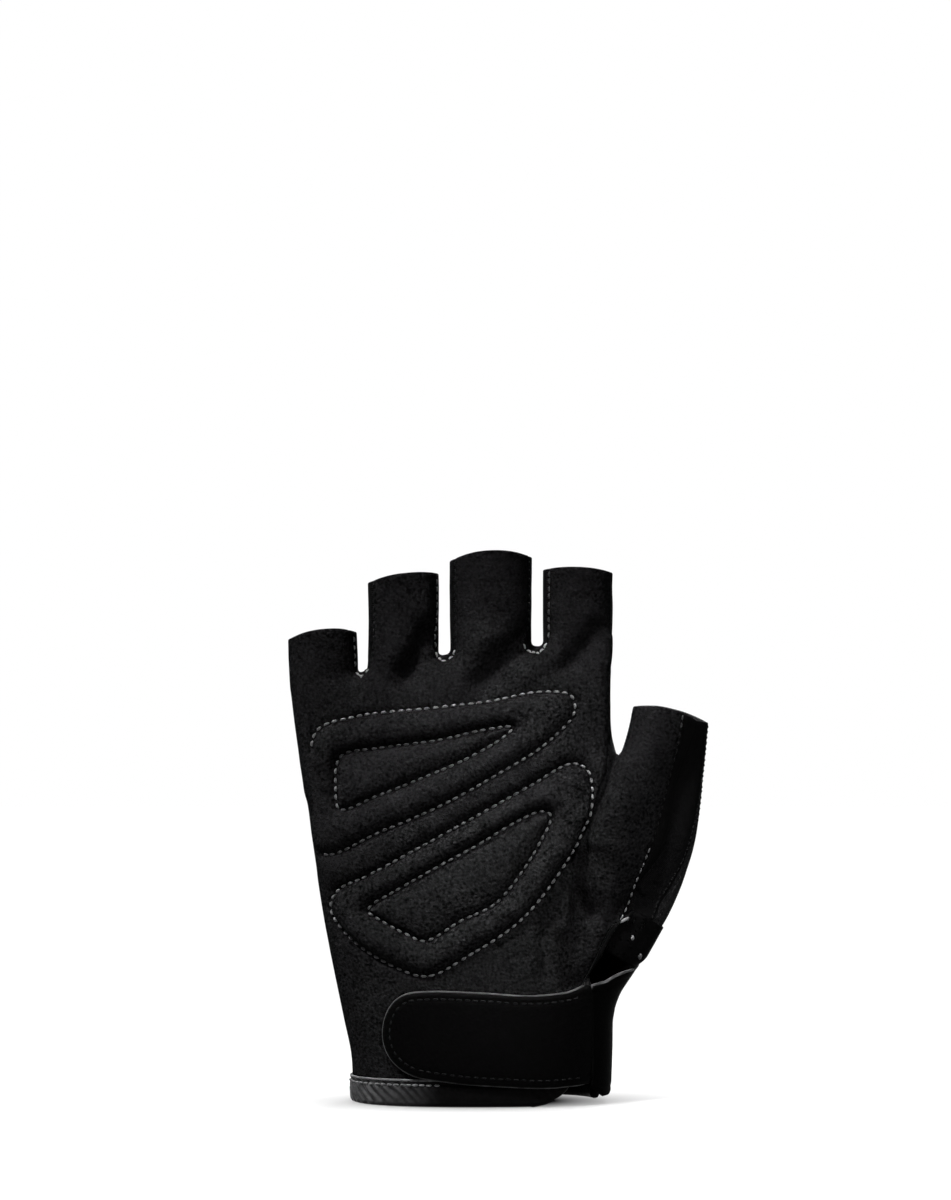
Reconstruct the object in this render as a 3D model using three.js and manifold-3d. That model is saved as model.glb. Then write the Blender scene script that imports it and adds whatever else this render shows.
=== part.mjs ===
// A right-hand half-finger cycling glove, shown as it stands when worn, palm to -Y and fingers up.
// Millimetres, +Z up. The origin is the centre of the wrist opening, in the plane of the hem.
// The thumb leans to +X. Every cloth piece is a real wall cut from one hollow hand form.

import * as THREE from "three";
import { mergeVertices } from "three/addons/utils/BufferGeometryUtils.js";
import Module from "manifold-3d";

const wasm = await Module();
wasm.setup();

// Driving sizes of the hand form, measured outside the cloth
const PALM_LENGTH = 124; // hem to the crotch between the little and ring fingers
const WRIST_WIDTH = 71;
const PALM_DEPTH = 40; // palm to back of the hand, at the wrist
const CROTCH_RISE = 7.8; // the last crotch stands this much above the first
const FINGER_WIDTH = 20.5; // of a finger of width 1 in the table
const FINGER_DEPTH = 18.5;
const FINGER_LENGTH = 28; // free sleeve of the middle finger above its crotch
const FINGER_GAP = 3.2;
const THUMB_LENGTH = 100; // from its root inside the wrist to the rim
const THUMB_WIDTH = 22.2; // at the rim
const THUMB_DEPTH = 21;

// Driving sizes of the cloth and the trim
const WALL = 1.5;
const GAP = 0.3; // between pieces that are sewn together
const HEM_HEIGHT = 7.8;
const HEM_PROUD = 0.6; // the folded tape is this much thicker than the wall, on each side
const THUMB_HEM_HEIGHT = 11;
const VENT_TAPE_WIDTH = 3;
const PAD_EDGE = 0.7; // height of a pad along its stitch lines
const PAD_CROWN = 2.2; // how far a padded ridge stands above its stitch lines
const STRAP_WIDTH = 26;
const STRAP_THICKNESS = 1.6;
const STRAP_REACH = 58.5; // from its tip to the fold at the side band
const STRAP_HEIGHT = 6.3; // its lower edge above the hem
const BAND_THICKNESS = 1.3;
const BAND_BACK_REACH = 24; // how far the side band runs over the back of the wrist

// Shape numbers
const PALM_SQUARENESS = 2.5; // 2 is an ellipse
const TUBE_SQUARENESS = 2.2;
const OVER = 6; // how far a cutting solid runs past what it cuts
const PALM_SIDES = 44;
const FINGER_SIDES = 20;
const THUMB_SIDES = 26;
const PAD_SIDES = 52;
const DEGREE = Math.PI / 180;

// Fingers from the little finger to the index. Width and depth are shares of FINGER_WIDTH and
// FINGER_DEPTH, reach of FINGER_LENGTH, lean of the finger's own width from root to rim, and crown
// and slant are the rim's rise at its middle and its slope, as shares of the finger's width.
const FINGERS = [
  { name: "little", width: 0.985, depth: 0.94, reach: 0.435, lean: -0.09, crown: 0.089, slant: 0.055 },
  { name: "ring", width: 1.0, depth: 1.0, reach: 0.913, lean: 0.0, crown: 0.063, slant: 0.064 },
  { name: "middle", width: 1.16, depth: 1.08, reach: 0.994, lean: 0.0, crown: 0.099, slant: 0.023 },
  { name: "index", width: 0.99, depth: 1.02, reach: 0.799, lean: 0.02, crown: 0.054, slant: -0.02 },
];
const FINGER_ROOT = 0.7; // share of PALM_LENGTH where each tube starts inside the palm
const KNUCKLE_WIDTH =
  FINGERS.reduce((sum, finger) => sum + finger.width * FINGER_WIDTH, 0) + (FINGERS.length - 1) * FINGER_GAP;
const KNUCKLE_LEFT = -0.592 * KNUCKLE_WIDTH;

// Sections of the palm, from the hem up. Up is a share of PALM_LENGTH, spread runs from WRIST_WIDTH
// at 0 to KNUCKLE_WIDTH at 1, shift is a share of KNUCKLE_WIDTH, front and back of PALM_DEPTH.
const PALM_SECTIONS = [
  { up: 0.0, spread: 0.0, shift: -0.014, front: 0.52, back: 0.5 },
  { up: 0.118, spread: 0.07, shift: -0.012, front: 0.51, back: 0.49 },
  { up: 0.188, spread: 0.16, shift: -0.02, front: 0.5, back: 0.47 },
  { up: 0.258, spread: 0.27, shift: -0.026, front: 0.49, back: 0.45 },
  { up: 0.387, spread: 0.4, shift: -0.0445, front: 0.475, back: 0.41 },
  { up: 0.468, spread: 0.48, shift: -0.053, front: 0.465, back: 0.39 },
  { up: 0.585, spread: 0.59, shift: -0.0605, front: 0.45, back: 0.375 },
  { up: 0.69, spread: 0.72, shift: -0.064, front: 0.425, back: 0.365 },
  { up: 0.755, spread: 0.86, shift: -0.0625, front: 0.4, back: 0.355 },
  { up: 0.81, spread: 0.83, shift: -0.0735, front: 0.375, back: 0.345 },
  { up: 0.885, spread: 0.86, shift: -0.082, front: 0.33, back: 0.315 },
  { up: 0.94, spread: 0.85, shift: -0.086, front: 0.26, back: 0.26 },
  { up: 0.978, spread: 0.8, shift: -0.087, front: 0.18, back: 0.18 },
  { up: 1.0, spread: 0.7, shift: -0.087, front: 0.09, back: 0.09 },
];

// Sections of the thumb, from inside the palm to the rim. Out and up are shares of THUMB_LENGTH from
// the root, tilt is the lean in degrees, forward a share of PALM_DEPTH towards the palm side,
// left and right are shares of THUMB_WIDTH, and front and back of THUMB_DEPTH.
const THUMB_ROOT = { across: 0.233, up: 0.145 }; // shares of KNUCKLE_WIDTH and PALM_LENGTH
const THUMB_SECTIONS = [
  { out: 0.0, up: 0.0, tilt: 30, forward: 0.0, left: 0.3, right: 0.33, front: 0.45, back: 0.45 },
  { out: 0.065, up: 0.13, tilt: 28, forward: 0.02, left: 0.42, right: 0.34, front: 0.53, back: 0.53 },
  { out: 0.145, up: 0.285, tilt: 26, forward: 0.06, left: 0.55, right: 0.46, front: 0.72, back: 0.65 },
  { out: 0.202, up: 0.4, tilt: 23, forward: 0.1, left: 0.63, right: 0.575, front: 0.73, back: 0.66 },
  { out: 0.252, up: 0.545, tilt: 19, forward: 0.14, left: 0.68, right: 0.615, front: 0.69, back: 0.63 },
  { out: 0.283, up: 0.69, tilt: 15, forward: 0.175, left: 0.7, right: 0.605, front: 0.64, back: 0.6 },
  { out: 0.308, up: 0.806, tilt: 12.5, forward: 0.2, left: 0.56, right: 0.55, front: 0.58, back: 0.56 },
  { out: 0.331, up: 0.953, tilt: 12, forward: 0.22, left: 0.49, right: 0.5, front: 0.52, back: 0.52 },
];
const THUMB_RIM_CROWN = 0.07; // share of THUMB_WIDTH

// Pads sewn in the palm, a row for each pair of points on the outer and the inner stitch line,
// clockwise as seen, with across a share of KNUCKLE_WIDTH and up of PALM_LENGTH.
const UPPER_PAD = [
  { outerAcross: -0.481, outerUp: 0.581, innerAcross: -0.429, innerUp: 0.685 },
  { outerAcross: -0.503, outerUp: 0.7, innerAcross: -0.441, innerUp: 0.742 },
  { outerAcross: -0.518, outerUp: 0.823, innerAcross: -0.438, innerUp: 0.787 },
  { outerAcross: -0.492, outerUp: 0.872, innerAcross: -0.419, innerUp: 0.812 },
  { outerAcross: -0.352, outerUp: 0.903, innerAcross: -0.304, innerUp: 0.828 },
  { outerAcross: -0.14, outerUp: 0.921, innerAcross: -0.122, innerUp: 0.847 },
  { outerAcross: 0.039, outerUp: 0.937, innerAcross: 0.0, innerUp: 0.868 },
  { outerAcross: 0.176, outerUp: 0.957, innerAcross: 0.076, innerUp: 0.877 },
  { outerAcross: 0.279, outerUp: 0.948, innerAcross: 0.1, innerUp: 0.877 },
  { outerAcross: 0.288, outerUp: 0.909, innerAcross: 0.097, innerUp: 0.87 },
  { outerAcross: 0.2, outerUp: 0.837, innerAcross: 0.06, innerUp: 0.847 },
  { outerAcross: 0.06, outerUp: 0.77, innerAcross: -0.036, innerUp: 0.805 },
  { outerAcross: -0.122, outerUp: 0.694, innerAcross: -0.168, innerUp: 0.761 },
  { outerAcross: -0.304, outerUp: 0.634, innerAcross: -0.319, innerUp: 0.715 },
];
const LOWER_PAD = [
  { outerAcross: -0.458, outerUp: 0.454, innerAcross: -0.34, innerUp: 0.452 },
  { outerAcross: -0.432, outerUp: 0.498, innerAcross: -0.322, innerUp: 0.469 },
  { outerAcross: -0.347, outerUp: 0.531, innerAcross: -0.267, innerUp: 0.494 },
  { outerAcross: -0.197, outerUp: 0.593, innerAcross: -0.146, innerUp: 0.547 },
  { outerAcross: -0.021, outerUp: 0.667, innerAcross: -0.006, innerUp: 0.605 },
  { outerAcross: 0.152, outerUp: 0.74, innerAcross: 0.106, innerUp: 0.656 },
  { outerAcross: 0.279, outerUp: 0.791, innerAcross: 0.182, innerUp: 0.681 },
  { outerAcross: 0.325, outerUp: 0.777, innerAcross: 0.212, innerUp: 0.676 },
  { outerAcross: 0.334, outerUp: 0.731, innerAcross: 0.212, innerUp: 0.657 },
  { outerAcross: 0.306, outerUp: 0.627, innerAcross: 0.186, innerUp: 0.616 },
  { outerAcross: 0.243, outerUp: 0.54, innerAcross: 0.127, innerUp: 0.542 },
  { outerAcross: 0.121, outerUp: 0.429, innerAcross: 0.046, innerUp: 0.469 },
  { outerAcross: -0.031, outerUp: 0.351, innerAcross: -0.06, innerUp: 0.429 },
  { outerAcross: -0.158, outerUp: 0.302, innerAcross: -0.168, innerUp: 0.383 },
  { outerAcross: -0.249, outerUp: 0.319, innerAcross: -0.218, innerUp: 0.397 },
  { outerAcross: -0.395, outerUp: 0.387, innerAcross: -0.303, innerUp: 0.431 },
];

// Lines seen from the front, with across a share of KNUCKLE_WIDTH and up of PALM_LENGTH.
// The vent is the cut in the wrist on the thumb side, which the strap closes.
const VENT_EDGE = [
  { across: 0.055, up: 0.0 },
  { across: 0.2, up: 0.014 },
  { across: 0.25, up: 0.032 },
  { across: 0.31, up: 0.1 },
  { across: 0.345, up: 0.19 },
  { across: 0.366, up: 0.289 },
  { across: 0.377, up: 0.335 },
  { across: 0.402, up: 0.377 },
  { across: 0.432, up: 0.41 },
];
const VENT_BACK = 0.1; // the cut's far edge on the thumb side, a share of PALM_DEPTH behind the middle
// Where the thumb's suede meets its stretch side panel. Up is measured as in THUMB_SECTIONS, and
// side is the distance from the thumb's centre line as a share of THUMB_WIDTH.
const THUMB_SEAM = [
  { up: 1.06, side: 0.18 },
  { up: 0.95, side: 0.2 },
  { up: 0.85, side: 0.217 },
  { up: 0.74, side: 0.218 },
  { up: 0.65, side: 0.184 },
  { up: 0.58, side: 0.132 },
  { up: 0.52, side: 0.092 },
  { up: 0.44, side: 0.064 },
  { up: 0.38, side: 0.092 },
  { up: 0.338, side: 0.119 },
];
// Where the palm side meets the back, from the little finger's side to the thumb's. Across is a
// share of KNUCKLE_WIDTH and behind of PALM_DEPTH.
const SIDE_SEAM = [
  { across: -1.0, behind: 0.05 },
  { across: 0.36, behind: 0.05 },
  { across: 0.47, behind: -0.225 },
  { across: 1.0, behind: -0.225 },
];

// The strap's edge as seen from the front, from the fold over the top to the tip and back below.
// Reach is a share of STRAP_REACH and height of STRAP_WIDTH.
const STRAP_OUTLINE = [
  { reach: 0.0, height: 1.08 },
  { reach: 0.118, height: 1.008 },
  { reach: 0.289, height: 0.975 },
  { reach: 0.533, height: 1.008 },
  { reach: 0.79, height: 1.025 },
  { reach: 0.905, height: 0.985 },
  { reach: 0.972, height: 0.84 },
  { reach: 1.0, height: 0.56 },
  { reach: 0.965, height: 0.304 },
  { reach: 0.875, height: 0.13 },
  { reach: 0.68, height: 0.045 },
  { reach: 0.436, height: 0.0 },
  { reach: 0.142, height: -0.015 },
  { reach: 0.0, height: 0.065 },
];

// How far the side band stands out on the thumb side, from the hem up, past the palm's own section.
// Up is a share of PALM_LENGTH and flare of WRIST_WIDTH.
const BAND_FLARE = [
  { up: 0.0, flare: 0.02 },
  { up: 0.118, flare: 0.014 },
  { up: 0.188, flare: 0.012 },
  { up: 0.225, flare: 0.018 },
  { up: 0.258, flare: 0.035 },
  { up: 0.296, flare: 0.078 },
  { up: 0.35, flare: 0.15 },
];

// Looks of each cloth
const SUEDE = new THREE.MeshStandardMaterial({ name: "suede", color: 0x1d1d1f, roughness: 0.95 });
const STRETCH = new THREE.MeshStandardMaterial({ name: "stretch", color: 0x121214, roughness: 0.8 });
const TAPE = new THREE.MeshStandardMaterial({ name: "tape", color: 0x1c1c1f, roughness: 0.5 });
const STRAP = new THREE.MeshStandardMaterial({ name: "strap", color: 0x0f0f10, roughness: 0.6 });

const mix = (a, b, share) => a + (b - a) * share;
const clamp01 = (value) => Math.min(1, Math.max(0, value));
const signedPower = (value, power) => Math.sign(value) * Math.abs(value) ** power;
const across = (share) => share * KNUCKLE_WIDTH;
const up = (share) => share * PALM_LENGTH;

// A closed three.js geometry as a solid, with its faces turned outwards.
function solidOf(geometry) {
  const bare = new THREE.BufferGeometry();
  bare.setAttribute("position", geometry.getAttribute("position").clone());
  if (geometry.index) bare.setIndex(geometry.index.clone());
  const merged = mergeVertices(bare, 1e-4);
  const triVerts = new Uint32Array(merged.index.array);
  const vertProperties = merged.getAttribute("position").array;
  const made = new wasm.Manifold(new wasm.Mesh({ numProp: 3, vertProperties, triVerts }));
  if (made.volume() > 0) return made;
  for (let i = 0; i < triVerts.length; i += 3) {
    [triVerts[i + 1], triVerts[i + 2]] = [triVerts[i + 2], triVerts[i + 1]];
  }
  return new wasm.Manifold(new wasm.Mesh({ numProp: 3, vertProperties, triVerts }));
}

// A solid skinned over closed rings of equally many points, closed by a fan at each end.
function loft(rings) {
  const sides = rings[0].length;
  const positions = rings.flat().flatMap((point) => [point.x, point.y, point.z]);
  const indices = [];
  for (let ring = 0; ring + 1 < rings.length; ring++) {
    for (let i = 0; i < sides; i++) {
      const a = ring * sides + i;
      const b = ring * sides + ((i + 1) % sides);
      indices.push(a, b, b + sides, a, b + sides, a + sides);
    }
  }
  const addCap = (ring, flip) => {
    const middle = rings[ring].reduce((sum, point) => sum.add(point), new THREE.Vector3());
    middle.divideScalar(sides);
    const centre = positions.length / 3;
    positions.push(middle.x, middle.y, middle.z);
    for (let i = 0; i < sides; i++) {
      const a = ring * sides + i;
      const b = ring * sides + ((i + 1) % sides);
      indices.push(centre, flip ? b : a, flip ? a : b);
    }
  };
  addCap(0, true);
  addCap(rings.length - 1, false);
  const geometry = new THREE.BufferGeometry();
  geometry.setAttribute("position", new THREE.Float32BufferAttribute(positions, 3));
  geometry.setIndex(indices);
  return solidOf(geometry);
}

// A prism whose outline is given in the XZ plane, as [x, z] pairs, between two values of y.
function frontPrism(outline, nearY, farY) {
  const shape = new THREE.Shape(outline.map(([x, z]) => new THREE.Vector2(x, z)));
  const geometry = new THREE.ExtrudeGeometry(shape, { depth: farY - nearY, bevelEnabled: false });
  geometry.rotateX(Math.PI / 2).translate(0, farY, 0);
  return solidOf(geometry);
}

// A prism whose outline is given in the XY plane, as [x, y] pairs, between two heights.
function planPrism(outline, bottom, top) {
  const shape = new THREE.Shape(outline.map(([x, y]) => new THREE.Vector2(x, y)));
  const geometry = new THREE.ExtrudeGeometry(shape, { depth: top - bottom, bevelEnabled: false });
  geometry.translate(0, 0, bottom);
  return solidOf(geometry);
}

// The points of a section of rounded-square form, for half sizes to each of its four sides.
function roundedSection(sides, squareness, { left, right, front, back }) {
  return Array.from({ length: sides }, (_, i) => {
    const angle = (2 * Math.PI * i) / sides;
    const x = signedPower(Math.cos(angle), 2 / squareness);
    const y = signedPower(Math.sin(angle), 2 / squareness);
    return { x: x * (x > 0 ? right : left), y: y * (y > 0 ? back : front), turn: Math.cos(angle) };
  });
}

// Each finger's place across the hand, from its share of the knuckle width
let fingerEdge = KNUCKLE_LEFT;
const fingers = FINGERS.map((row) => {
  const width = row.width * FINGER_WIDTH;
  const centre = fingerEdge + width / 2;
  const right = fingerEdge + width;
  fingerEdge = right + FINGER_GAP;
  return { ...row, width, centre, right, depth: row.depth * FINGER_DEPTH };
});
const crotchCentres = fingers.slice(0, -1).map((finger) => finger.right + FINGER_GAP / 2);

// How far the crotch line has risen at a place across the hand, from 0 to 1
function crotchShare(x) {
  const first = crotchCentres[0];
  const last = crotchCentres[crotchCentres.length - 1];
  return Math.sin(clamp01((x - first) / (last - first)) * (Math.PI / 2));
}
const crotchHeight = (x) => PALM_LENGTH + CROTCH_RISE * crotchShare(x);

// The palm's half sizes and centre at a share of its length, with its walls moved out by grow
function palmAt(share, grow) {
  const above = PALM_SECTIONS.findIndex((row) => row.up >= share);
  const high = PALM_SECTIONS[above < 0 ? PALM_SECTIONS.length - 1 : Math.max(1, above)];
  const low = PALM_SECTIONS[PALM_SECTIONS.indexOf(high) - 1];
  const t = clamp01((share - low.up) / (high.up - low.up));
  const value = (column) => mix(low[column], high[column], t);
  const half = mix(WRIST_WIDTH, KNUCKLE_WIDTH, value("spread")) / 2 + grow;
  return {
    centre: across(value("shift")),
    left: half,
    right: half,
    front: value("front") * PALM_DEPTH + grow,
    back: value("back") * PALM_DEPTH + grow,
  };
}

function palmForm(grow, open) {
  const rings = PALM_SECTIONS.map((row, index) => {
    const section = palmAt(row.up, grow);
    const base = row.up * (PALM_LENGTH + grow) - (open && index === 0 ? OVER : 0);
    return roundedSection(PALM_SIDES, PALM_SQUARENESS, section).map(({ x, y }) => {
      const lift = CROTCH_RISE * crotchShare(section.centre + x) * row.up ** 2;
      return new THREE.Vector3(section.centre + x, y, base + lift);
    });
  });
  return loft(rings);
}

// The palm's front face at a point seen from the front, moved out by grow
function palmFrontY(x, z, grow) {
  const rise = CROTCH_RISE * crotchShare(x);
  const share = rise > 0 ? (Math.sqrt(PALM_LENGTH ** 2 + 4 * rise * z) - PALM_LENGTH) / (2 * rise) : z / PALM_LENGTH;
  const section = palmAt(share, grow);
  const off = Math.min(1, Math.abs(x - section.centre) / section.right);
  return -section.front * (1 - off ** PALM_SQUARENESS) ** (1 / PALM_SQUARENESS);
}

function fingerForm(finger, grow, open) {
  const half = finger.width / 2 + grow;
  const depth = finger.depth / 2 + grow;
  const rimHeight = crotchHeight(finger.centre) + finger.reach * FINGER_LENGTH;
  const sections = [
    { height: FINGER_ROOT * PALM_LENGTH, swell: 0.62, rim: 0 },
    { height: mix(crotchHeight(finger.centre), rimHeight, -0.35), swell: 0.98, rim: 0 },
    { height: mix(crotchHeight(finger.centre), rimHeight, 0.35), swell: 1, rim: 0 },
    { height: rimHeight + (open ? OVER : 0), swell: 1, rim: 1 },
  ];
  const rings = sections.map(({ height, swell, rim }) => {
    const size = { left: half * swell, right: half * swell, front: depth * swell, back: depth * swell };
    const lean = finger.lean * finger.width * clamp01((height - sections[0].height) / (rimHeight - sections[0].height));
    return roundedSection(FINGER_SIDES, TUBE_SQUARENESS, size).map(({ x, y, turn }) => {
      const cut = rim * finger.width * (finger.slant * turn - finger.crown * turn ** 2);
      return new THREE.Vector3(finger.centre - finger.lean * finger.width + lean + x, y, height + cut);
    });
  });
  return loft(rings);
}

function thumbForm(grow, open) {
  const rings = THUMB_SECTIONS.map((row, index) => {
    const last = index === THUMB_SECTIONS.length - 1;
    const angle = row.tilt * DEGREE;
    const over = last && open ? OVER : 0;
    const centreX = across(THUMB_ROOT.across) + row.out * THUMB_LENGTH + over * Math.sin(angle);
    const centreZ = up(THUMB_ROOT.up) + row.up * THUMB_LENGTH + over * Math.cos(angle);
    const size = {
      left: row.left * THUMB_WIDTH + grow,
      right: row.right * THUMB_WIDTH + grow,
      front: row.front * THUMB_DEPTH + grow,
      back: row.back * THUMB_DEPTH + grow,
    };
    return roundedSection(THUMB_SIDES, TUBE_SQUARENESS, size).map(({ x, y, turn }) => {
      const cut = last ? -THUMB_RIM_CROWN * THUMB_WIDTH * turn ** 2 : 0;
      return new THREE.Vector3(
        centreX + x * Math.cos(angle) + cut * Math.sin(angle),
        y - row.forward * PALM_DEPTH,
        centreZ - x * Math.sin(angle) + cut * Math.cos(angle),
      );
    });
  });
  return loft(rings);
}

// The whole hand form, its walls moved out by grow. An open one runs out through each opening.
function handForm(grow, open = false) {
  const tubes = fingers.map((finger) => fingerForm(finger, grow, open));
  return [...tubes, thumbForm(grow, open)].reduce((sum, tube) => sum.add(tube), palmForm(grow, open));
}

// Limits that lie outside the whole glove, for cutting solids
const FAR_X = KNUCKLE_WIDTH;
const FAR_Y = PALM_DEPTH;
const FAR_Z = PALM_LENGTH + CROTCH_RISE + FINGER_LENGTH + OVER;
const linePoints = (rows) => rows.map((row) => [across(row.across), up(row.up)]);
const smoothLine = (points, count) =>
  new THREE.SplineCurve(points.map(([x, z]) => new THREE.Vector2(x, z))).getPoints(count).map((p) => [p.x, p.y]);

// The vent's front edge, and the heights between which the thumb's hem closes its top
const ventLine = smoothLine(linePoints(VENT_EDGE), 14);
const thumbHemTop = ventLine[ventLine.length - 1][1];
const ventTop = thumbHemTop - THUMB_HEM_HEIGHT;
const ventBackY = VENT_BACK * PALM_DEPTH;
const ventPart = (low, high) => {
  const heightAt = (z) => {
    const index = ventLine.findIndex((point) => point[1] >= z);
    const [[x0, z0], [x1, z1]] = [ventLine[index - 1], ventLine[index]];
    return [mix(x0, x1, (z - z0) / (z1 - z0)), z];
  };
  return [...(low > 0 ? [heightAt(low)] : []), ...ventLine.filter((p) => p[1] > low && p[1] < high), heightAt(high)];
};
const openVent = frontPrism(
  [[ventLine[0][0], -OVER], ventLine[0], ...ventPart(0, ventTop), [FAR_X, ventTop], [FAR_X, -OVER]],
  -FAR_Y,
  ventBackY,
);
const trimmedVent = frontPrism(
  [
    [ventLine[0][0] - VENT_TAPE_WIDTH - GAP, -OVER],
    ...ventLine.map(([x, z]) => [x - VENT_TAPE_WIDTH - GAP, z + GAP]),
    [FAR_X, thumbHemTop + GAP],
    [FAR_X, -OVER],
  ],
  -FAR_Y,
  ventBackY + GAP,
);

// The half of space on the palm side, -1, or behind, 1, of the side seam
const sideSeam = SIDE_SEAM.map((row) => [across(row.across), row.behind * PALM_DEPTH]);
const halfSpace = (side, clearance) =>
  planPrism(
    [...sideSeam.map(([x, y]) => [x, y + side * clearance]), [FAR_X, side * FAR_Y], [-FAR_X, side * FAR_Y]],
    -OVER,
    FAR_Z,
  );

// The strips between fingers take the sides of both tubes and the crotch between them.
const STRIP_SEAMS = { rightFront: -0.17, rightBack: 0.3, leftFront: -0.28, leftBack: 0.22 }; // of FINGER_DEPTH
const STRIP_DROP = 7; // below the crotch
function stripRegion(index, clearance) {
  const near = fingers[index];
  const far = fingers[index + 1];
  const front = (share) => share * FINGER_DEPTH - clearance;
  const back = (share) => share * FINGER_DEPTH + clearance;
  const bottom = crotchHeight(crotchCentres[index]) - STRIP_DROP - clearance;
  return planPrism(
    [
      [near.centre, front(STRIP_SEAMS.rightFront)],
      [far.centre, front(STRIP_SEAMS.leftFront)],
      [far.centre, back(STRIP_SEAMS.leftBack)],
      [near.centre, back(STRIP_SEAMS.rightBack)],
    ],
    bottom,
    FAR_Z,
  );
}

// A point beside the thumb's centre line, as seen from the front
function besideThumb({ up: share, side }) {
  const above = THUMB_SECTIONS.findIndex((row) => row.up >= share);
  const high = THUMB_SECTIONS[above < 0 ? THUMB_SECTIONS.length - 1 : Math.max(1, above)];
  const low = THUMB_SECTIONS[THUMB_SECTIONS.indexOf(high) - 1];
  const t = (share - low.up) / (high.up - low.up);
  const angle = mix(low.tilt, high.tilt, clamp01(t)) * DEGREE;
  return [
    across(THUMB_ROOT.across) + mix(low.out, high.out, t) * THUMB_LENGTH + side * THUMB_WIDTH * Math.cos(angle),
    up(THUMB_ROOT.up) + share * THUMB_LENGTH - side * THUMB_WIDTH * Math.sin(angle),
  ];
}

// The stretch panel on the outer side of the thumb
function thumbSideRegion(clearance) {
  const seam = smoothLine(THUMB_SEAM.map(besideThumb), 16).map(([x, z]) => [x - clearance, z]);
  const [topX, topZ] = seam[0];
  const [bottomX, bottomZ] = seam[seam.length - 1];
  return frontPrism(
    [[FAR_X, topZ], [topX, topZ], ...seam.slice(1), [bottomX, bottomZ - OVER], [FAR_X, bottomZ - OVER]],
    -FAR_Y,
    FAR_Y,
  );
}

const outer = handForm(0);
const shell = outer.subtract(handForm(-WALL, true));
const hemBand = (top) => planPrism([[-FAR_X, -FAR_Y], [FAR_X, -FAR_Y], [FAR_X, FAR_Y], [-FAR_X, FAR_Y]], -OVER, top);
const tapeShell = handForm(HEM_PROUD).subtract(handForm(-WALL - HEM_PROUD, true));
const floorCut = hemBand(0);

// Panels: the cloth left above the hem tapes and outside the vent
const cloth = shell.subtract(hemBand(HEM_HEIGHT + GAP)).subtract(trimmedVent);
const strips = crotchCentres.map((_, index) => stripRegion(index, 0));
const clearedStrips = crotchCentres.map((_, index) => stripRegion(index, GAP)).reduce((sum, strip) => sum.add(strip));
const panelCloth = cloth.subtract(clearedStrips);
const frontCloth = panelCloth.intersect(halfSpace(-1, 0));
const palmPanel = frontCloth.subtract(thumbSideRegion(GAP));
const thumbSidePanel = frontCloth.intersect(thumbSideRegion(0));
const backPanel = panelCloth.intersect(halfSpace(1, GAP));
const fingerStrips = strips.map((strip) => cloth.intersect(strip));

// Tapes: the hem round the wrist, the vent's front edge and the thumb's own hem
const cuffTape = tapeShell.intersect(hemBand(HEM_HEIGHT)).subtract(floorCut).subtract(openVent);
const ventStrip = frontPrism(
  [...ventLine.map(([x, z]) => [x - VENT_TAPE_WIDTH, z]), ...[...ventLine].reverse()],
  -FAR_Y,
  0,
);
const ventTape = tapeShell.intersect(ventStrip).subtract(hemBand(HEM_HEIGHT + GAP));
const thumbHemStrip = frontPrism(
  [...ventPart(ventTop, thumbHemTop).map(([x, z]) => [x + GAP, z]), [FAR_X, thumbHemTop], [FAR_X, ventTop]],
  -FAR_Y,
  ventBackY,
);
const thumbHem = tapeShell.intersect(thumbHemStrip);

// A pad: ridges between its stitch lines and a crowned island inside them, seated on the palm
const PAD_RINGS = [
  { inward: 0, rise: 0 },
  { inward: 0.22, rise: 0.68 },
  { inward: 0.5, rise: 1 },
  { inward: 0.78, rise: 0.68 },
  { inward: 1, rise: 0 },
];
const ISLAND_RINGS = [
  { scale: 0.78, rise: 0.55 },
  { scale: 0.5, rise: 0.9 },
  { scale: 0.2, rise: 1 },
];
function palmPad(rows) {
  const curveOf = (acrossColumn, upColumn) => {
    const points = rows.map((row) => new THREE.Vector3(across(row[acrossColumn]), 0, up(row[upColumn])));
    const curve = new THREE.CatmullRomCurve3(points, true, "centripetal");
    return Array.from({ length: PAD_SIDES }, (_, i) => curve.getPoint(i / PAD_SIDES));
  };
  const outerLine = curveOf("outerAcross", "outerUp");
  const innerLine = curveOf("innerAcross", "innerUp");
  const middle = innerLine.reduce((sum, point) => sum.add(point), new THREE.Vector3()).divideScalar(PAD_SIDES);
  const onPalm = (point, height) => new THREE.Vector3(point.x, palmFrontY(point.x, point.z, height), point.z);
  const seat = outerLine.map((point) => onPalm(point, -WALL));
  const ridge = PAD_RINGS.map(({ inward, rise }) =>
    outerLine.map((point, i) => onPalm(point.clone().lerp(innerLine[i], inward), GAP + PAD_EDGE + PAD_CROWN * rise)),
  );
  const island = ISLAND_RINGS.map(({ scale, rise }) =>
    innerLine.map((point) => onPalm(middle.clone().lerp(point, scale), GAP + PAD_EDGE + PAD_CROWN * rise)),
  );
  return loft([seat, ...ridge, ...island]).subtract(handForm(GAP));
}

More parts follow.
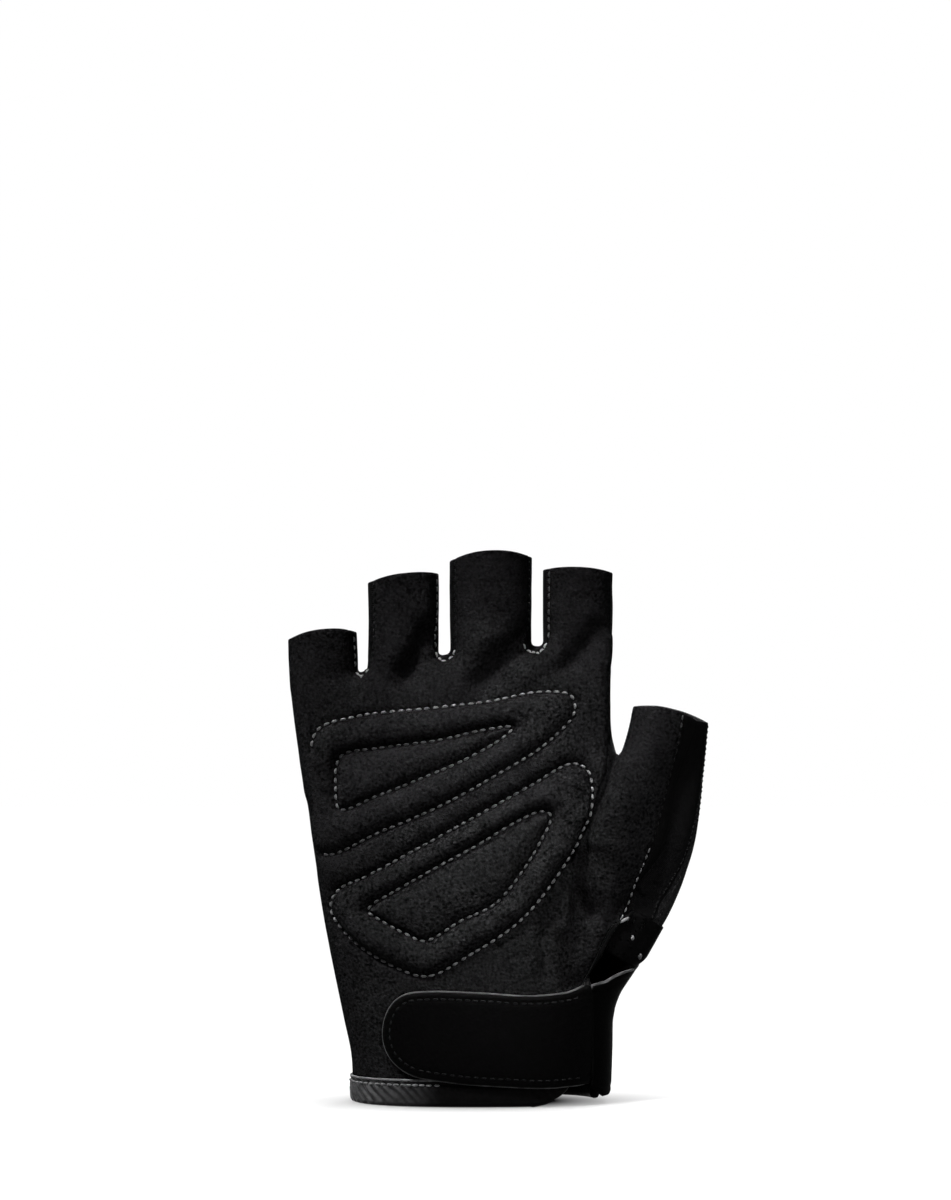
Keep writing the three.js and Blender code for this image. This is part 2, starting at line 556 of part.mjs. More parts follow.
// The strap lies on the hem tape, and its side band carries it round the thumb side to the back.
const STRAP_LIFT = HEM_PROUD + GAP;
const strapFold = across(0.333);
const strapCover = handForm(STRAP_LIFT + STRAP_THICKNESS).subtract(handForm(STRAP_LIFT));
const strapOutline = smoothLine(
  STRAP_OUTLINE.map((row) => [strapFold - row.reach * STRAP_REACH, STRAP_HEIGHT + row.height * STRAP_WIDTH]),
  48,
);
const strap = strapCover.intersect(frontPrism(strapOutline, -FAR_Y, 0));
function bandForm(grow) {
  const rings = BAND_FLARE.map((row, index) => {
    const section = palmAt(row.up, grow);
    section.right += row.flare * WRIST_WIDTH;
    const height = up(row.up) - (index === 0 ? OVER : 0);
    return roundedSection(PALM_SIDES, PALM_SQUARENESS, section).map(
      ({ x, y }) => new THREE.Vector3(section.centre + x, y, height),
    );
  });
  return loft(rings);
}
const bandCover = bandForm(STRAP_LIFT + BAND_THICKNESS).subtract(bandForm(STRAP_LIFT)).subtract(handForm(STRAP_LIFT));
const bandFront = frontPrism(
  [
    [strapFold + GAP, STRAP_HEIGHT + STRAP_OUTLINE[STRAP_OUTLINE.length - 1].height * STRAP_WIDTH],
    [strapFold + GAP, STRAP_HEIGHT + STRAP_OUTLINE[0].height * STRAP_WIDTH],
    [across(0.39), up(0.296)],
    [across(0.42), up(0.32)],
    [across(0.44), up(0.333)],
    [across(0.52), up(0.34)],
    [FAR_X, up(0.34)],
    [FAR_X, up(0.012)],
    [across(0.4), up(0.012)],
  ],
  -FAR_Y,
  0,
);
const bandBack = frontPrism(
  [
    [across(0.33) - BAND_BACK_REACH, up(0.08)],
    [across(0.33) - BAND_BACK_REACH, up(0.26)],
    [across(0.36), up(0.315)],
    [FAR_X, up(0.34)],
    [FAR_X, up(0.012)],
    [across(0.39), up(0.012)],
    [across(0.33), up(0.045)],
  ],
  0,
  FAR_Y,
);
const sideBand = bandCover.intersect(bandFront.add(bandBack));

// The pieces as meshes
const glove = new THREE.Group();
function addPiece(name, solid, material) {
  const data = solid.getMesh();
  const positions = new Float32Array(data.numVert * 3);
  for (let i = 0; i < data.numVert; i++) {
    positions.set(data.vertProperties.subarray(i * data.numProp, i * data.numProp + 3), i * 3);
  }
  const geometry = new THREE.BufferGeometry();
  geometry.setAttribute("position", new THREE.BufferAttribute(positions, 3));
  geometry.setIndex(new THREE.BufferAttribute(data.triVerts, 1));
  geometry.computeVertexNormals();
  const mesh = new THREE.Mesh(geometry, material);
  mesh.name = name;
  glove.add(mesh);
}
addPiece("palm_panel", palmPanel, SUEDE);
addPiece("back_panel", backPanel, STRETCH);
addPiece("thumb_side_panel", thumbSidePanel, STRETCH);
fingerStrips.forEach((strip, index) => {
  addPiece(`finger_strip_${fingers[index].name}_${fingers[index + 1].name}`, strip, STRETCH);
});
addPiece("upper_palm_pad", palmPad(UPPER_PAD), SUEDE);
addPiece("lower_palm_pad", palmPad(LOWER_PAD), SUEDE);
addPiece("cuff_tape", cuffTape, TAPE);
addPiece("vent_tape", ventTape, TAPE);
addPiece("thumb_hem_tape", thumbHem, TAPE);
addPiece("wrist_strap", strap, STRAP);
addPiece("strap_side_band", sideBand, STRAP);

export default glove;
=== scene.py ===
# Looks of a right-hand half-finger cycling glove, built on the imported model.
# Shapes are worked out in millimetres and turned into metres when a mesh is made.
import math

import bpy
import numpy as np
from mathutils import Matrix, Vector


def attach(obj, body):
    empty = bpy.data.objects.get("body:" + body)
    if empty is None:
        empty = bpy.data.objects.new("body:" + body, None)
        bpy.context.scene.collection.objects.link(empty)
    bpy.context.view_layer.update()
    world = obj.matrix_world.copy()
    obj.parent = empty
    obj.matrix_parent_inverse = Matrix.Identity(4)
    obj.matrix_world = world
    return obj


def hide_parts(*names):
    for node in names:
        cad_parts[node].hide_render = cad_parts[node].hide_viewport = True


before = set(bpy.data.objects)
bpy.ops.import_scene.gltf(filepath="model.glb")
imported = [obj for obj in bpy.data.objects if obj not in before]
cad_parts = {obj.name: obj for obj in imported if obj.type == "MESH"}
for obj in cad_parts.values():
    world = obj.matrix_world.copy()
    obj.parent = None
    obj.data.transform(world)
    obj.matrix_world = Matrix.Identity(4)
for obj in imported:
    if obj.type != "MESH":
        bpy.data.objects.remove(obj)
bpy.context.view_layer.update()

MM = 0.001
RNG = np.random.default_rng(7)

# Sizes of the hand form, as in the solid model
PALM_LENGTH = 124.0
WRIST_WIDTH = 71.0
PALM_DEPTH = 40.0
CROTCH_RISE = 7.8
FINGER_WIDTH = 20.5
FINGER_DEPTH = 18.5
FINGER_LENGTH = 28.0
FINGER_GAP = 3.2
LITTLE_EDGE = -0.592
FINGER_ROOT = 0.7
THUMB_LENGTH = 100.0
THUMB_WIDTH = 22.2
THUMB_DEPTH = 21.0
THUMB_RIM_CROWN = 0.07
WALL = 1.5
HEM_HEIGHT = 7.8
HEM_PROUD = 0.6
THUMB_HEM_HEIGHT = 11.0
VENT_TAPE_WIDTH = 3.0
VENT_BACK = 0.1
STRAP_WIDTH = 26.0
STRAP_THICKNESS = 1.6
STRAP_REACH = 58.5
STRAP_HEIGHT = 6.3
BAND_THICKNESS = 1.3
PALM_SQUARENESS = 2.5
TUBE_SQUARENESS = 2.2

# Sizes that only the looks use: spacing of the mesh, and radii in which one form runs into another
STEP = 0.75
TOP_BLEND = 3.0
ROOT_BLEND = 4.0
THUMB_BLEND = 3.5
CROTCH_BLEND = 1.4
FACE_BLEND = 5.0
BLEND_WIDENS = (3, 8)
# Rounding of the cloth's rims and seams, and its least thickness
HEM_ROUND = 1.2
RIM_BULGE = 0.5
SEAM_BULGE = 0.22
SEAM_PULL = 0.14
THINNEST = 0.7
PAD_BACK = -0.55
THINNEST_PAD = 0.1
# Stitches
STITCH_PITCH = 2.5
STITCH_LENGTH = 1.45
THREAD = 0.75
BESIDE_SEAM = 0.6

# Fingers from the little finger to the index: width, depth, reach, lean, crown, slant
FINGERS = [
    ("little", 0.985, 0.94, 0.435, -0.09, 0.089, 0.055),
    ("ring", 1.0, 1.0, 0.913, 0.0, 0.063, 0.064),
    ("middle", 1.16, 1.08, 0.994, 0.0, 0.099, 0.023),
    ("index", 0.99, 1.02, 0.799, 0.02, 0.054, -0.02),
]
# Palm sections: up, spread, shift, front, back
PALM_SECTIONS = np.array([
    (0.0, 0.0, -0.014, 0.52, 0.5),
    (0.118, 0.07, -0.012, 0.51, 0.49),
    (0.188, 0.16, -0.02, 0.5, 0.47),
    (0.258, 0.27, -0.026, 0.49, 0.45),
    (0.387, 0.4, -0.0445, 0.475, 0.41),
    (0.468, 0.48, -0.053, 0.465, 0.39),
    (0.585, 0.59, -0.0605, 0.45, 0.375),
    (0.69, 0.72, -0.064, 0.425, 0.365),
    (0.755, 0.86, -0.0625, 0.4, 0.355),
    (0.81, 0.83, -0.0735, 0.375, 0.345),
    (0.885, 0.86, -0.082, 0.33, 0.315),
    (0.94, 0.85, -0.086, 0.26, 0.26),
    (0.978, 0.8, -0.087, 0.18, 0.18),
    (1.0, 0.7, -0.087, 0.09, 0.09),
])
# Thumb sections: out, up, tilt, forward, left, right, front, back
THUMB_ROOT = (0.233, 0.145)
THUMB_SECTIONS = np.array([
    (0.0, 0.0, 30, 0.0, 0.3, 0.33, 0.45, 0.45),
    (0.065, 0.13, 28, 0.02, 0.42, 0.34, 0.53, 0.53),
    (0.145, 0.285, 26, 0.06, 0.55, 0.46, 0.72, 0.65),
    (0.202, 0.4, 23, 0.1, 0.63, 0.575, 0.73, 0.66),
    (0.252, 0.545, 19, 0.14, 0.68, 0.615, 0.69, 0.63),
    (0.283, 0.69, 15, 0.175, 0.7, 0.605, 0.64, 0.6),
    (0.308, 0.806, 12.5, 0.2, 0.56, 0.55, 0.58, 0.56),
    (0.331, 0.953, 12, 0.22, 0.49, 0.5, 0.52, 0.52),
])
# Stitch lines of the two pads, outer and inner: across, up
UPPER_OUTER = [
    (-0.481, 0.581), (-0.503, 0.7), (-0.518, 0.823), (-0.492, 0.872), (-0.352, 0.903), (-0.14, 0.921),
    (0.039, 0.937), (0.176, 0.957), (0.279, 0.948), (0.288, 0.909), (0.2, 0.837), (0.06, 0.77),
    (-0.122, 0.694), (-0.304, 0.634),
]
UPPER_INNER = [
    (-0.429, 0.685), (-0.441, 0.742), (-0.438, 0.787), (-0.419, 0.812), (-0.304, 0.828), (-0.122, 0.847),
    (0.0, 0.868), (0.076, 0.877), (0.1, 0.877), (0.097, 0.87), (0.06, 0.847), (-0.036, 0.805),
    (-0.168, 0.761), (-0.319, 0.715),
]
LOWER_OUTER = [
    (-0.458, 0.454), (-0.432, 0.498), (-0.347, 0.531), (-0.197, 0.593), (-0.021, 0.667), (0.152, 0.74),
    (0.279, 0.791), (0.325, 0.777), (0.334, 0.731), (0.306, 0.627), (0.243, 0.54), (0.121, 0.429),
    (-0.031, 0.351), (-0.158, 0.302), (-0.249, 0.319), (-0.395, 0.387),
]
LOWER_INNER = [
    (-0.34, 0.452), (-0.322, 0.469), (-0.267, 0.494), (-0.146, 0.547), (-0.006, 0.605), (0.106, 0.656),
    (0.182, 0.681), (0.212, 0.676), (0.212, 0.657), (0.186, 0.616), (0.127, 0.542), (0.046, 0.469),
    (-0.06, 0.429), (-0.168, 0.383), (-0.218, 0.397), (-0.303, 0.431),
]
VENT_EDGE = [
    (0.055, 0.0), (0.2, 0.014), (0.25, 0.032), (0.31, 0.1), (0.345, 0.19), (0.366, 0.289),
    (0.377, 0.335), (0.402, 0.377), (0.432, 0.41),
]
# Where the thumb's suede meets its side panel: share along the thumb, and distance beside its line
THUMB_SEAM = [
    (1.06, 0.18), (0.95, 0.2), (0.85, 0.217), (0.74, 0.218), (0.65, 0.184), (0.58, 0.132), (0.52, 0.092),
    (0.44, 0.064), (0.38, 0.092), (0.338, 0.119),
]
STRAP_OUTLINE = [
    (0.0, 1.08), (0.118, 1.008), (0.289, 0.975), (0.533, 1.008), (0.79, 1.025), (0.905, 0.985),
    (0.972, 0.84), (1.0, 0.56), (0.965, 0.304), (0.875, 0.13), (0.68, 0.045), (0.436, 0.0),
    (0.142, -0.015), (0.0, 0.065),
]
BAND_FLARE = np.array([
    (0.0, 0.02), (0.118, 0.014), (0.188, 0.012), (0.225, 0.018), (0.258, 0.035), (0.296, 0.078), (0.35, 0.15),
])
# The strips' front and back seams, at the nearer finger and at the farther one, in finger depths
STRIP_FRONT, STRIP_BACK = (-0.17, -0.28), (0.3, 0.22)
STRIP_DROP = 7.0
STRIP_REACH = 0.42
# The seam between palm and back: across, and depth
SIDE_SEAM = ((0.36, 0.05), (0.47, -0.225))
# Finger width at its root, a little under the crotch and a little over it
ROOT_SWELL = (0.62, 0.98, 1.0)
ROOT_SPAN = 0.35


# Curves and distances
def hermite(u):
    """Weights of a cubic's start, its slope there, its end and its slope there."""
    return 2 * u**3 - 3 * u**2 + 1, u**3 - 2 * u**2 + u, 3 * u**2 - 2 * u**3, u**3 - u**2


def smooth_table(rows, key, column, count=500):
    """A table's column as a smooth curve, sampled finely for lookup."""
    t, v = rows[:, key], rows[:, column]
    slope = np.gradient(v, t)
    fine = np.linspace(t[0], t[-1], count)
    i = np.clip(np.searchsorted(t, fine, side="right") - 1, 0, len(t) - 2)
    w = t[i + 1] - t[i]
    u = (fine - t[i]) / w
    h0, g0, h1, g1 = hermite(u)
    value = h0 * v[i] + g0 * w * slope[i] + h1 * v[i + 1] + g1 * w * slope[i + 1]
    return lambda x: np.interp(x, fine, value)


def smin(a, b, k):
    h = np.maximum(k - np.abs(a - b), 0) / k
    return np.minimum(a, b) - h * h * k * 0.25


def smax(a, b, k):
    return -smin(-a, -b, k)


def smoothstep(x, low, high):
    t = np.clip((x - low) / (high - low), 0, 1)
    return t * t * (3 - 2 * t)


def bell(x, width):
    return np.exp(-(x / width) ** 2)


def lengths(path):
    """Length along a path up to each of its points."""
    return np.concatenate([[0], np.cumsum(np.linalg.norm(np.diff(path, axis=0), axis=1))])


def at_lengths(path, along, at):
    """A path's points, or values that go with them, at given lengths."""
    return np.stack([np.interp(at, along, column) for column in path.T], 1)


SPLINE_STEPS = 24


def spline(points, count, closed=False):
    """A centripetal Catmull-Rom curve through points, sampled evenly along its length."""
    p = np.array(points, float)
    n = len(p)
    out = []
    for i in range(n if closed else n - 1):
        if closed:
            p0, p1, p2, p3 = p[(i - 1) % n], p[i], p[(i + 1) % n], p[(i + 2) % n]
        else:
            p1, p2 = p[i], p[i + 1]
            p0 = p[i - 1] if i else 2 * p1 - p2
            p3 = p[i + 2] if i + 2 < n else 2 * p2 - p1
        d1, d2, d3 = [max(np.linalg.norm(b - a), 1e-6) ** 0.5 for a, b in ((p0, p1), (p1, p2), (p2, p3))]
        m1 = d2 * ((p1 - p0) / d1 - (p2 - p0) / (d1 + d2) + (p2 - p1) / d2)
        m2 = d2 * ((p2 - p1) / d2 - (p3 - p1) / (d2 + d3) + (p3 - p2) / d3)
        for u in np.arange(SPLINE_STEPS) / SPLINE_STEPS:
            h0, g0, h1, g1 = hermite(u)
            out.append(h0 * p1 + g0 * m1 + h1 * p2 + g1 * m2)
    out.append(p[0] if closed else p[-1])
    out = np.array(out)
    along = lengths(out)
    result = at_lengths(out, along, np.linspace(0, along[-1], count + 1))
    return result[:-1] if closed else result


FAR = 1e9


def segments(x, z, line, closed):
    """For each segment of a polyline: squared distances to it, nearest shares of it, and its length."""
    ends = np.roll(line, -1, axis=0)
    if not closed:
        line, ends = line[:-1], ends[:-1]
    for (ax, az), (dx, dz) in zip(line, ends - line):
        t = np.clip(((x - ax) * dx + (z - az) * dz) / (dx * dx + dz * dz + 1e-12), 0, 1)
        yield (x - ax - t * dx) ** 2 + (z - az - t * dz) ** 2, t, np.hypot(dx, dz)


def polyline_distance(x, z, line, closed=False):
    """Distance in the XZ plane from points to a polyline."""
    best = np.full(x.shape, FAR)
    for square, _, _ in segments(x, z, line, closed):
        best = np.minimum(best, square)
    return np.sqrt(best)


def polyline_place(x, z, line, closed=False):
    """Length along a polyline, in the XZ plane, of the place nearest to each point."""
    best, place, begin = np.full(x.shape, FAR), np.zeros(x.shape), 0.0
    for square, t, length in segments(x, z, line, closed):
        closer = square < best
        best[closer] = square[closer]
        place[closer] = begin + t[closer] * length
        begin += length
    return place


def inside(x, z, line):
    """Whether points lie inside a closed polyline in the XZ plane."""
    result = np.zeros(x.shape, bool)
    for (ax, az), (bx, bz) in zip(line, np.roll(line, -1, axis=0)):
        crosses = (az > z) != (bz > z)
        with np.errstate(divide="ignore", invalid="ignore"):
            at = ax + (z - az) * (bx - ax) / (bz - az)
        result ^= crosses & (x < at)
    return result


def signed_distance(x, z, line):
    d = polyline_distance(x, z, line, closed=True)
    return np.where(inside(x, z, line), -d, d)


# Odd multipliers that scatter the lattice points of the noise
SCATTER = np.array([374761393, 668265263, 2147483647])
SEED_STEP, MIX, LOW_32_BITS = 144269, 1274126177, 0xFFFFFFFF


def fade_noise(p, size, seed):
    """Smooth value noise of about -1 to 1, with one lattice cell per size."""
    q = np.asarray(p, float) / size + 57.3
    i = np.floor(q).astype(np.int64)
    f = q - i
    f = f * f * (3 - 2 * f)
    total = 0
    for corner in range(8):
        o = np.array([corner & 1, corner >> 1 & 1, corner >> 2 & 1])
        c = i + o
        h = (c @ SCATTER + seed * SEED_STEP) & LOW_32_BITS
        h = ((h ^ (h >> 13)) * MIX) & LOW_32_BITS
        h = ((h ^ (h >> 16)) & 0xFFFF) / 32767.5 - 1
        w = np.prod(np.where(o == 1, f, 1 - f), axis=1)
        total = total + h * w
    return total


# Hand form
finger_widths = [row[1] * FINGER_WIDTH for row in FINGERS]
KNUCKLE_WIDTH = sum(finger_widths) + 3 * FINGER_GAP
centres, edge = [], LITTLE_EDGE * KNUCKLE_WIDTH
for width in finger_widths:
    centres.append(edge + width / 2)
    edge += width + FINGER_GAP
crotches = [centres[i] + finger_widths[i] / 2 + FINGER_GAP / 2 for i in range(3)]


def on_hand(rows):
    """Shares of the knuckle width and palm length as millimetres."""
    return [(a * KNUCKLE_WIDTH, u * PALM_LENGTH) for a, u in rows]


def crotch_share(x):
    return np.sin(np.clip((x - crotches[0]) / (crotches[2] - crotches[0]), 0, 1) * (math.pi / 2))


def crotch_height(x):
    return PALM_LENGTH + CROTCH_RISE * crotch_share(x)


palm_spread, palm_shift, palm_front, palm_back = [smooth_table(PALM_SECTIONS, 0, k) for k in range(1, 5)]


def palm_section(share):
    half = (WRIST_WIDTH + palm_spread(share) * (KNUCKLE_WIDTH - WRIST_WIDTH)) / 2
    front, back = palm_front(share) * PALM_DEPTH, palm_back(share) * PALM_DEPTH
    return palm_shift(share) * KNUCKLE_WIDTH, half, front, back


def ellipse_distance(u, v, n):
    """Distance to a unit superellipse from (x, half x), (y, half y)."""
    (x, a), (y, b) = u, v
    s, t = np.abs(x) / a, np.abs(y) / b
    g = np.maximum((s**n + t**n) ** (1 / n), 1e-4)
    gx, gy = (s / g) ** (n - 1) / a, (t / g) ** (n - 1) / b
    return (g - 1) / np.sqrt(gx * gx + gy * gy + 1e-9)


def palm_field(x, y, z):
    rise = np.maximum(CROTCH_RISE * crotch_share(x), 1e-3)
    share = (np.sqrt(np.maximum(PALM_LENGTH**2 + 4 * rise * z, 1.0)) - PALM_LENGTH) / (2 * rise)
    centre, half, front, back = palm_section(share)
    side = ellipse_distance((x - centre, half), (y, np.where(y < 0, front, back)), PALM_SQUARENESS)
    return smax(side, (share - 1) * PALM_LENGTH, TOP_BLEND)


def finger_field(index, x, y, z):
    _, width, depth, reach, lean, _, _ = FINGERS[index]
    width, depth = width * FINGER_WIDTH, depth * FINGER_DEPTH
    root = FINGER_ROOT * PALM_LENGTH
    crotch = crotch_height(centres[index])
    rim = crotch + reach * FINGER_LENGTH
    t = np.clip((z - root) / (rim - root), 0, 1)
    centre = centres[index] - lean * width * (1 - t)
    span = ROOT_SPAN * (rim - crotch)
    swell = np.interp(z, [root, crotch - span, crotch + span], ROOT_SWELL)
    side = ellipse_distance((x - centre, width / 2 * swell), (y, depth / 2 * swell), TUBE_SQUARENESS)
    return smax(side, root - z, ROOT_BLEND)


thumb_columns = [smooth_table(THUMB_SECTIONS, 1, k) for k in (0, 3, 4, 5, 6, 7)]
thumb_ups = np.linspace(0, THUMB_SECTIONS[-1, 1], 90)
thumb_line = np.stack([
    THUMB_ROOT[0] * KNUCKLE_WIDTH + thumb_columns[0](thumb_ups) * THUMB_LENGTH,
    THUMB_ROOT[1] * PALM_LENGTH + thumb_ups * THUMB_LENGTH,
], 1)
thumb_tangent = np.gradient(thumb_line, axis=0)
thumb_step = np.linalg.norm(thumb_tangent, axis=1)
thumb_tangent /= thumb_step[:, None]


def thumb_place(x, z):
    """Share along the thumb, and the distances past its line to the side and below its root."""
    x, z = np.broadcast_arrays(x, z)
    best, index = np.full(x.shape, FAR), np.zeros(x.shape, int)
    for i, (cx, cz) in enumerate(thumb_line):
        d = (x - cx) ** 2 + (z - cz) ** 2
        closer = d < best
        best[closer] = d[closer]
        index[closer] = i
    tx, tz = thumb_tangent[index, 0], thumb_tangent[index, 1]
    dx, dz = x - thumb_line[index, 0], z - thumb_line[index, 1]
    forward = dx * tx + dz * tz
    up = thumb_ups[index] + forward / thumb_step[index] * (thumb_ups[1] - thumb_ups[0])
    up = np.clip(up, 0, thumb_ups[-1])
    sideways = dx * tz - dz * tx
    return up, sideways, np.where(index == 0, -forward, -5.0)


def thumb_field(x, y, z):
    up, sideways, below = thumb_place(x, z)
    _, forward, left, right, front, back = [column(up) for column in thumb_columns]
    depth = y + forward * PALM_DEPTH
    side = ellipse_distance(
        (sideways, np.where(sideways < 0, left, right) * THUMB_WIDTH),
        (depth, np.where(depth < 0, front, back) * THUMB_DEPTH),
        TUBE_SQUARENESS,
    )
    return smax(side, below, ROOT_BLEND)


def finger_blend(y):
    """Radius in which a finger runs into the palm: wide on the faces, tight in the crotches."""
    return CROTCH_BLEND + (FACE_BLEND - CROTCH_BLEND) * smoothstep(np.abs(y), *BLEND_WIDENS)


def hand_field(x, y, z):
    """Distance to the outside of the bare hand form, below 0 inside."""
    d = palm_field(x, y, z)
    for index in range(4):
        d = smin(d, finger_field(index, x, y, z), finger_blend(y))
    return smin(d, thumb_field(x, y, z), THUMB_BLEND)


def field_at(p):
    return hand_field(p[:, 0], p[:, 1], p[:, 2])


def gradient_at(p, e=0.05):
    g = np.empty_like(p)
    for k in range(3):
        o = np.zeros(3)
        o[k] = e
        g[:, k] = (field_at(p + o) - field_at(p - o)) / (2 * e)
    return g


def settle(p, rounds):
    """Moves points on to the hand form and returns them with the outward normals."""
    for _ in range(rounds):
        g = gradient_at(p)
        length = np.maximum((g * g).sum(1), 0.05)
        p = p - np.clip(field_at(p) / length, -1.5, 1.5)[:, None] * g
    g = gradient_at(p)
    return p, g / np.maximum(np.linalg.norm(g, axis=1, keepdims=True), 1e-6)


# The box that holds the whole form
NET_LOW, NET_HIGH = np.array([-60.0, -26.0, -3.0]), np.array([70.0, 24.0, 163.0])


def front_point(xz):
    """Points of the form's palm side at given x and z, with the outward normals."""
    xz = np.asarray(xz, float)
    p = np.stack([xz[:, 0], np.full(len(xz), NET_LOW[1]), xz[:, 1]], 1)
    for _ in range(40):
        p[:, 1] += np.clip(field_at(p) * 0.8, -1.0, 4.0)
    g = gradient_at(p)
    return p, g / np.linalg.norm(g, axis=1, keepdims=True)


# How far from their middles fingers change the form, and where the thumb does
FINGER_REACH = 22.0
THUMB_NEAR, THUMB_UNDER = 5.0, 128.0


def surface_net(step):
    """The hand form as a mesh of vertices and triangles."""
    xs, ys, zs = [np.arange(NET_LOW[k], NET_HIGH[k], step) for k in range(3)]
    X, Y, Z = xs[:, None, None], ys[None, :, None], zs[None, None, :]
    f = palm_field(X, Y, Z) + 0 * Y
    high = zs > FINGER_ROOT * PALM_LENGTH - 2 * ROOT_BLEND
    for index in range(4):
        near = np.abs(xs - centres[index]) < FINGER_REACH
        block = np.ix_(near, np.ones(len(ys), bool), high)
        f[block] = smin(f[block], finger_field(index, X[near], Y, Z[:, :, high]), finger_blend(Y))
    near, high = xs > THUMB_NEAR, zs < THUMB_UNDER
    block = np.ix_(near, np.ones(len(ys), bool), high)
    f[block] = smin(f[block], thumb_field(X[near], Y, Z[:, :, high]), THUMB_BLEND)
    sign = f < 0
    shape = np.array(f.shape) - 1
    count = np.zeros(shape, np.int8)
    nx, ny, nz = shape
    corners = [(i, j, k) for i in (0, 1) for j in (0, 1) for k in (0, 1)]
    for i, j, k in corners:
        count += sign[i:i + nx, j:j + ny, k:k + nz]
    active = (count > 0) & (count < 8)
    cells = np.argwhere(active)
    number = np.full(shape, -1, np.int64)
    number[active] = np.arange(len(cells))
    position = np.zeros((len(cells), 3))
    hits = np.zeros(len(cells))
    for a in corners:
        for axis in range(3):
            if a[axis]:
                continue
            b = list(a)
            b[axis] = 1
            fa = f[cells[:, 0] + a[0], cells[:, 1] + a[1], cells[:, 2] + a[2]]
            fb = f[cells[:, 0] + b[0], cells[:, 1] + b[1], cells[:, 2] + b[2]]
            cross = (fa < 0) != (fb < 0)
            t = np.where(cross, fa / np.where(cross, fa - fb, 1), 0)
            point = np.array(a, float)[None, :] + t[:, None] * (np.array(b) - np.array(a))
            position[cross] += point[cross]
            hits += cross
    V = (cells + position / hits[:, None]) * step + NET_LOW
    quads = []
    for axis in range(3):
        u, v = (axis + 1) % 3, (axis + 2) % 3
        sl_a, sl_b = [slice(1, n) for n in shape], [slice(1, n) for n in shape]
        sl_a[axis], sl_b[axis] = slice(0, shape[axis]), slice(1, shape[axis] + 1)
        fa, fb = sign[tuple(sl_a)], sign[tuple(sl_b)]
        at = np.argwhere(fa != fb)
        low = fa[tuple(at.T)]
        at = at + 1
        at[:, axis] -= 1
        ring = []
        for du, dv in ((0, 0), (1, 0), (1, 1), (0, 1)):
            c = at.copy()
            c[:, u] -= du
            c[:, v] -= dv
            ring.append(number[c[:, 0], c[:, 1], c[:, 2]])
        q = np.stack(ring, 1)
        q[~low] = q[~low][:, ::-1]
        quads.append(q)
    q = np.concatenate(quads)
    q = q[(q >= 0).all(1)]
    T = np.concatenate([q[:, [0, 1, 2]], q[:, [0, 2, 3]]])
    return V, T


# Mesh cutting
def edges_of(T):
    return np.concatenate([T[:, [0, 1]], T[:, [1, 2]], T[:, [2, 0]]])


def numbered(pairs):
    """The different pairs of vertices among pairs, the place of each pair among them, and their counts."""
    pairs = np.sort(pairs, axis=1)
    unique, inverse, count = np.unique(pairs, axis=0, return_inverse=True, return_counts=True)
    return unique, inverse.reshape(-1), count


def relax(V, T, rounds):
    """Evens out a mesh on the form."""
    edges, _, _ = numbered(edges_of(T))
    for _ in range(rounds):
        total, count = np.zeros_like(V), np.zeros(len(V))
        for a, b in ((0, 1), (1, 0)):
            np.add.at(total, edges[:, a], V[edges[:, b]])
            np.add.at(count, edges[:, a], 1)
        V = 0.4 * V + 0.6 * total / count[:, None]
        V, _ = settle(V, 1)
    return V


def split(V, T, s, project=None):
    """Splits the triangles that the line s = 0 crosses. Vertices with s of nan are out of reach."""
    v = s[T]
    crossed = np.stack([v[:, (j + 1) % 3] * v[:, (j + 2) % 3] < 0 for j in range(3)], 1)
    count = crossed.sum(1)
    keep = T[count == 0]

    def turned(triangles, k):
        return np.take_along_axis(triangles, (k[:, None] + np.arange(3)) % 3, axis=1)

    A = turned(T[count == 1], np.argmax(crossed[count == 1], axis=1))
    B = turned(T[count == 2], np.argmin(crossed[count == 2], axis=1))
    pairs = np.concatenate([A[:, [1, 2]], B[:, [0, 1]], B[:, [0, 2]]])
    if not len(pairs):
        return V, T
    unique, inverse, _ = numbered(pairs)
    s0, s1 = s[unique[:, 0]], s[unique[:, 1]]
    t = (s0 / (s0 - s1))[:, None]
    new = V[unique[:, 0]] * (1 - t) + V[unique[:, 1]] * t
    if project:
        new = project(new)
    ids = len(V) + inverse
    na, nb = len(A), len(B)
    m, m1, m2 = ids[:na], ids[na:na + nb], ids[na + nb:]
    parts = [
        keep,
        np.stack([A[:, 0], A[:, 1], m], 1), np.stack([A[:, 0], m, A[:, 2]], 1),
        np.stack([B[:, 0], m1, m2], 1), np.stack([m1, B[:, 1], B[:, 2]], 1), np.stack([m1, B[:, 2], m2], 1),
    ]
    return np.concatenate([V, new]), np.concatenate(parts)


def on_form(p):
    return settle(p, 1)[0]


NUDGE = 0.02


def cut(V, T, value, near, drop):
    """Puts a line of vertices where value is 0, in the stretch named by near, and drops what lies past it."""
    reach = np.flatnonzero(near(V))
    s = np.full(len(V), np.nan)
    s[reach] = value(V[reach])
    close = reach[np.abs(s[reach]) < 0.3 * STEP]
    p = V[close]
    for _ in range(2):
        g = np.empty_like(p)
        for k in range(3):
            o = np.zeros(3)
            o[k] = NUDGE
            g[:, k] = (value(p + o) - value(p - o)) / (2 * NUDGE)
        n = gradient_at(p)
        n /= np.maximum(np.linalg.norm(n, axis=1, keepdims=True), 1e-6)
        g -= n * (g * n).sum(1, keepdims=True)
        move = -value(p)[:, None] * g / np.maximum((g * g).sum(1, keepdims=True), 0.15)
        p = on_form(p + np.clip(move, -0.3, 0.3))
    V = V.copy()
    V[close] = p
    s[close] = 0
    V, T = split(V, T, s, on_form)
    if drop:
        centre = V[T].mean(1)
        where = near(centre)
        gone = np.zeros(len(T), bool)
        gone[where] = value(centre[where]) > 0
        T = T[~gone]
    return V, T


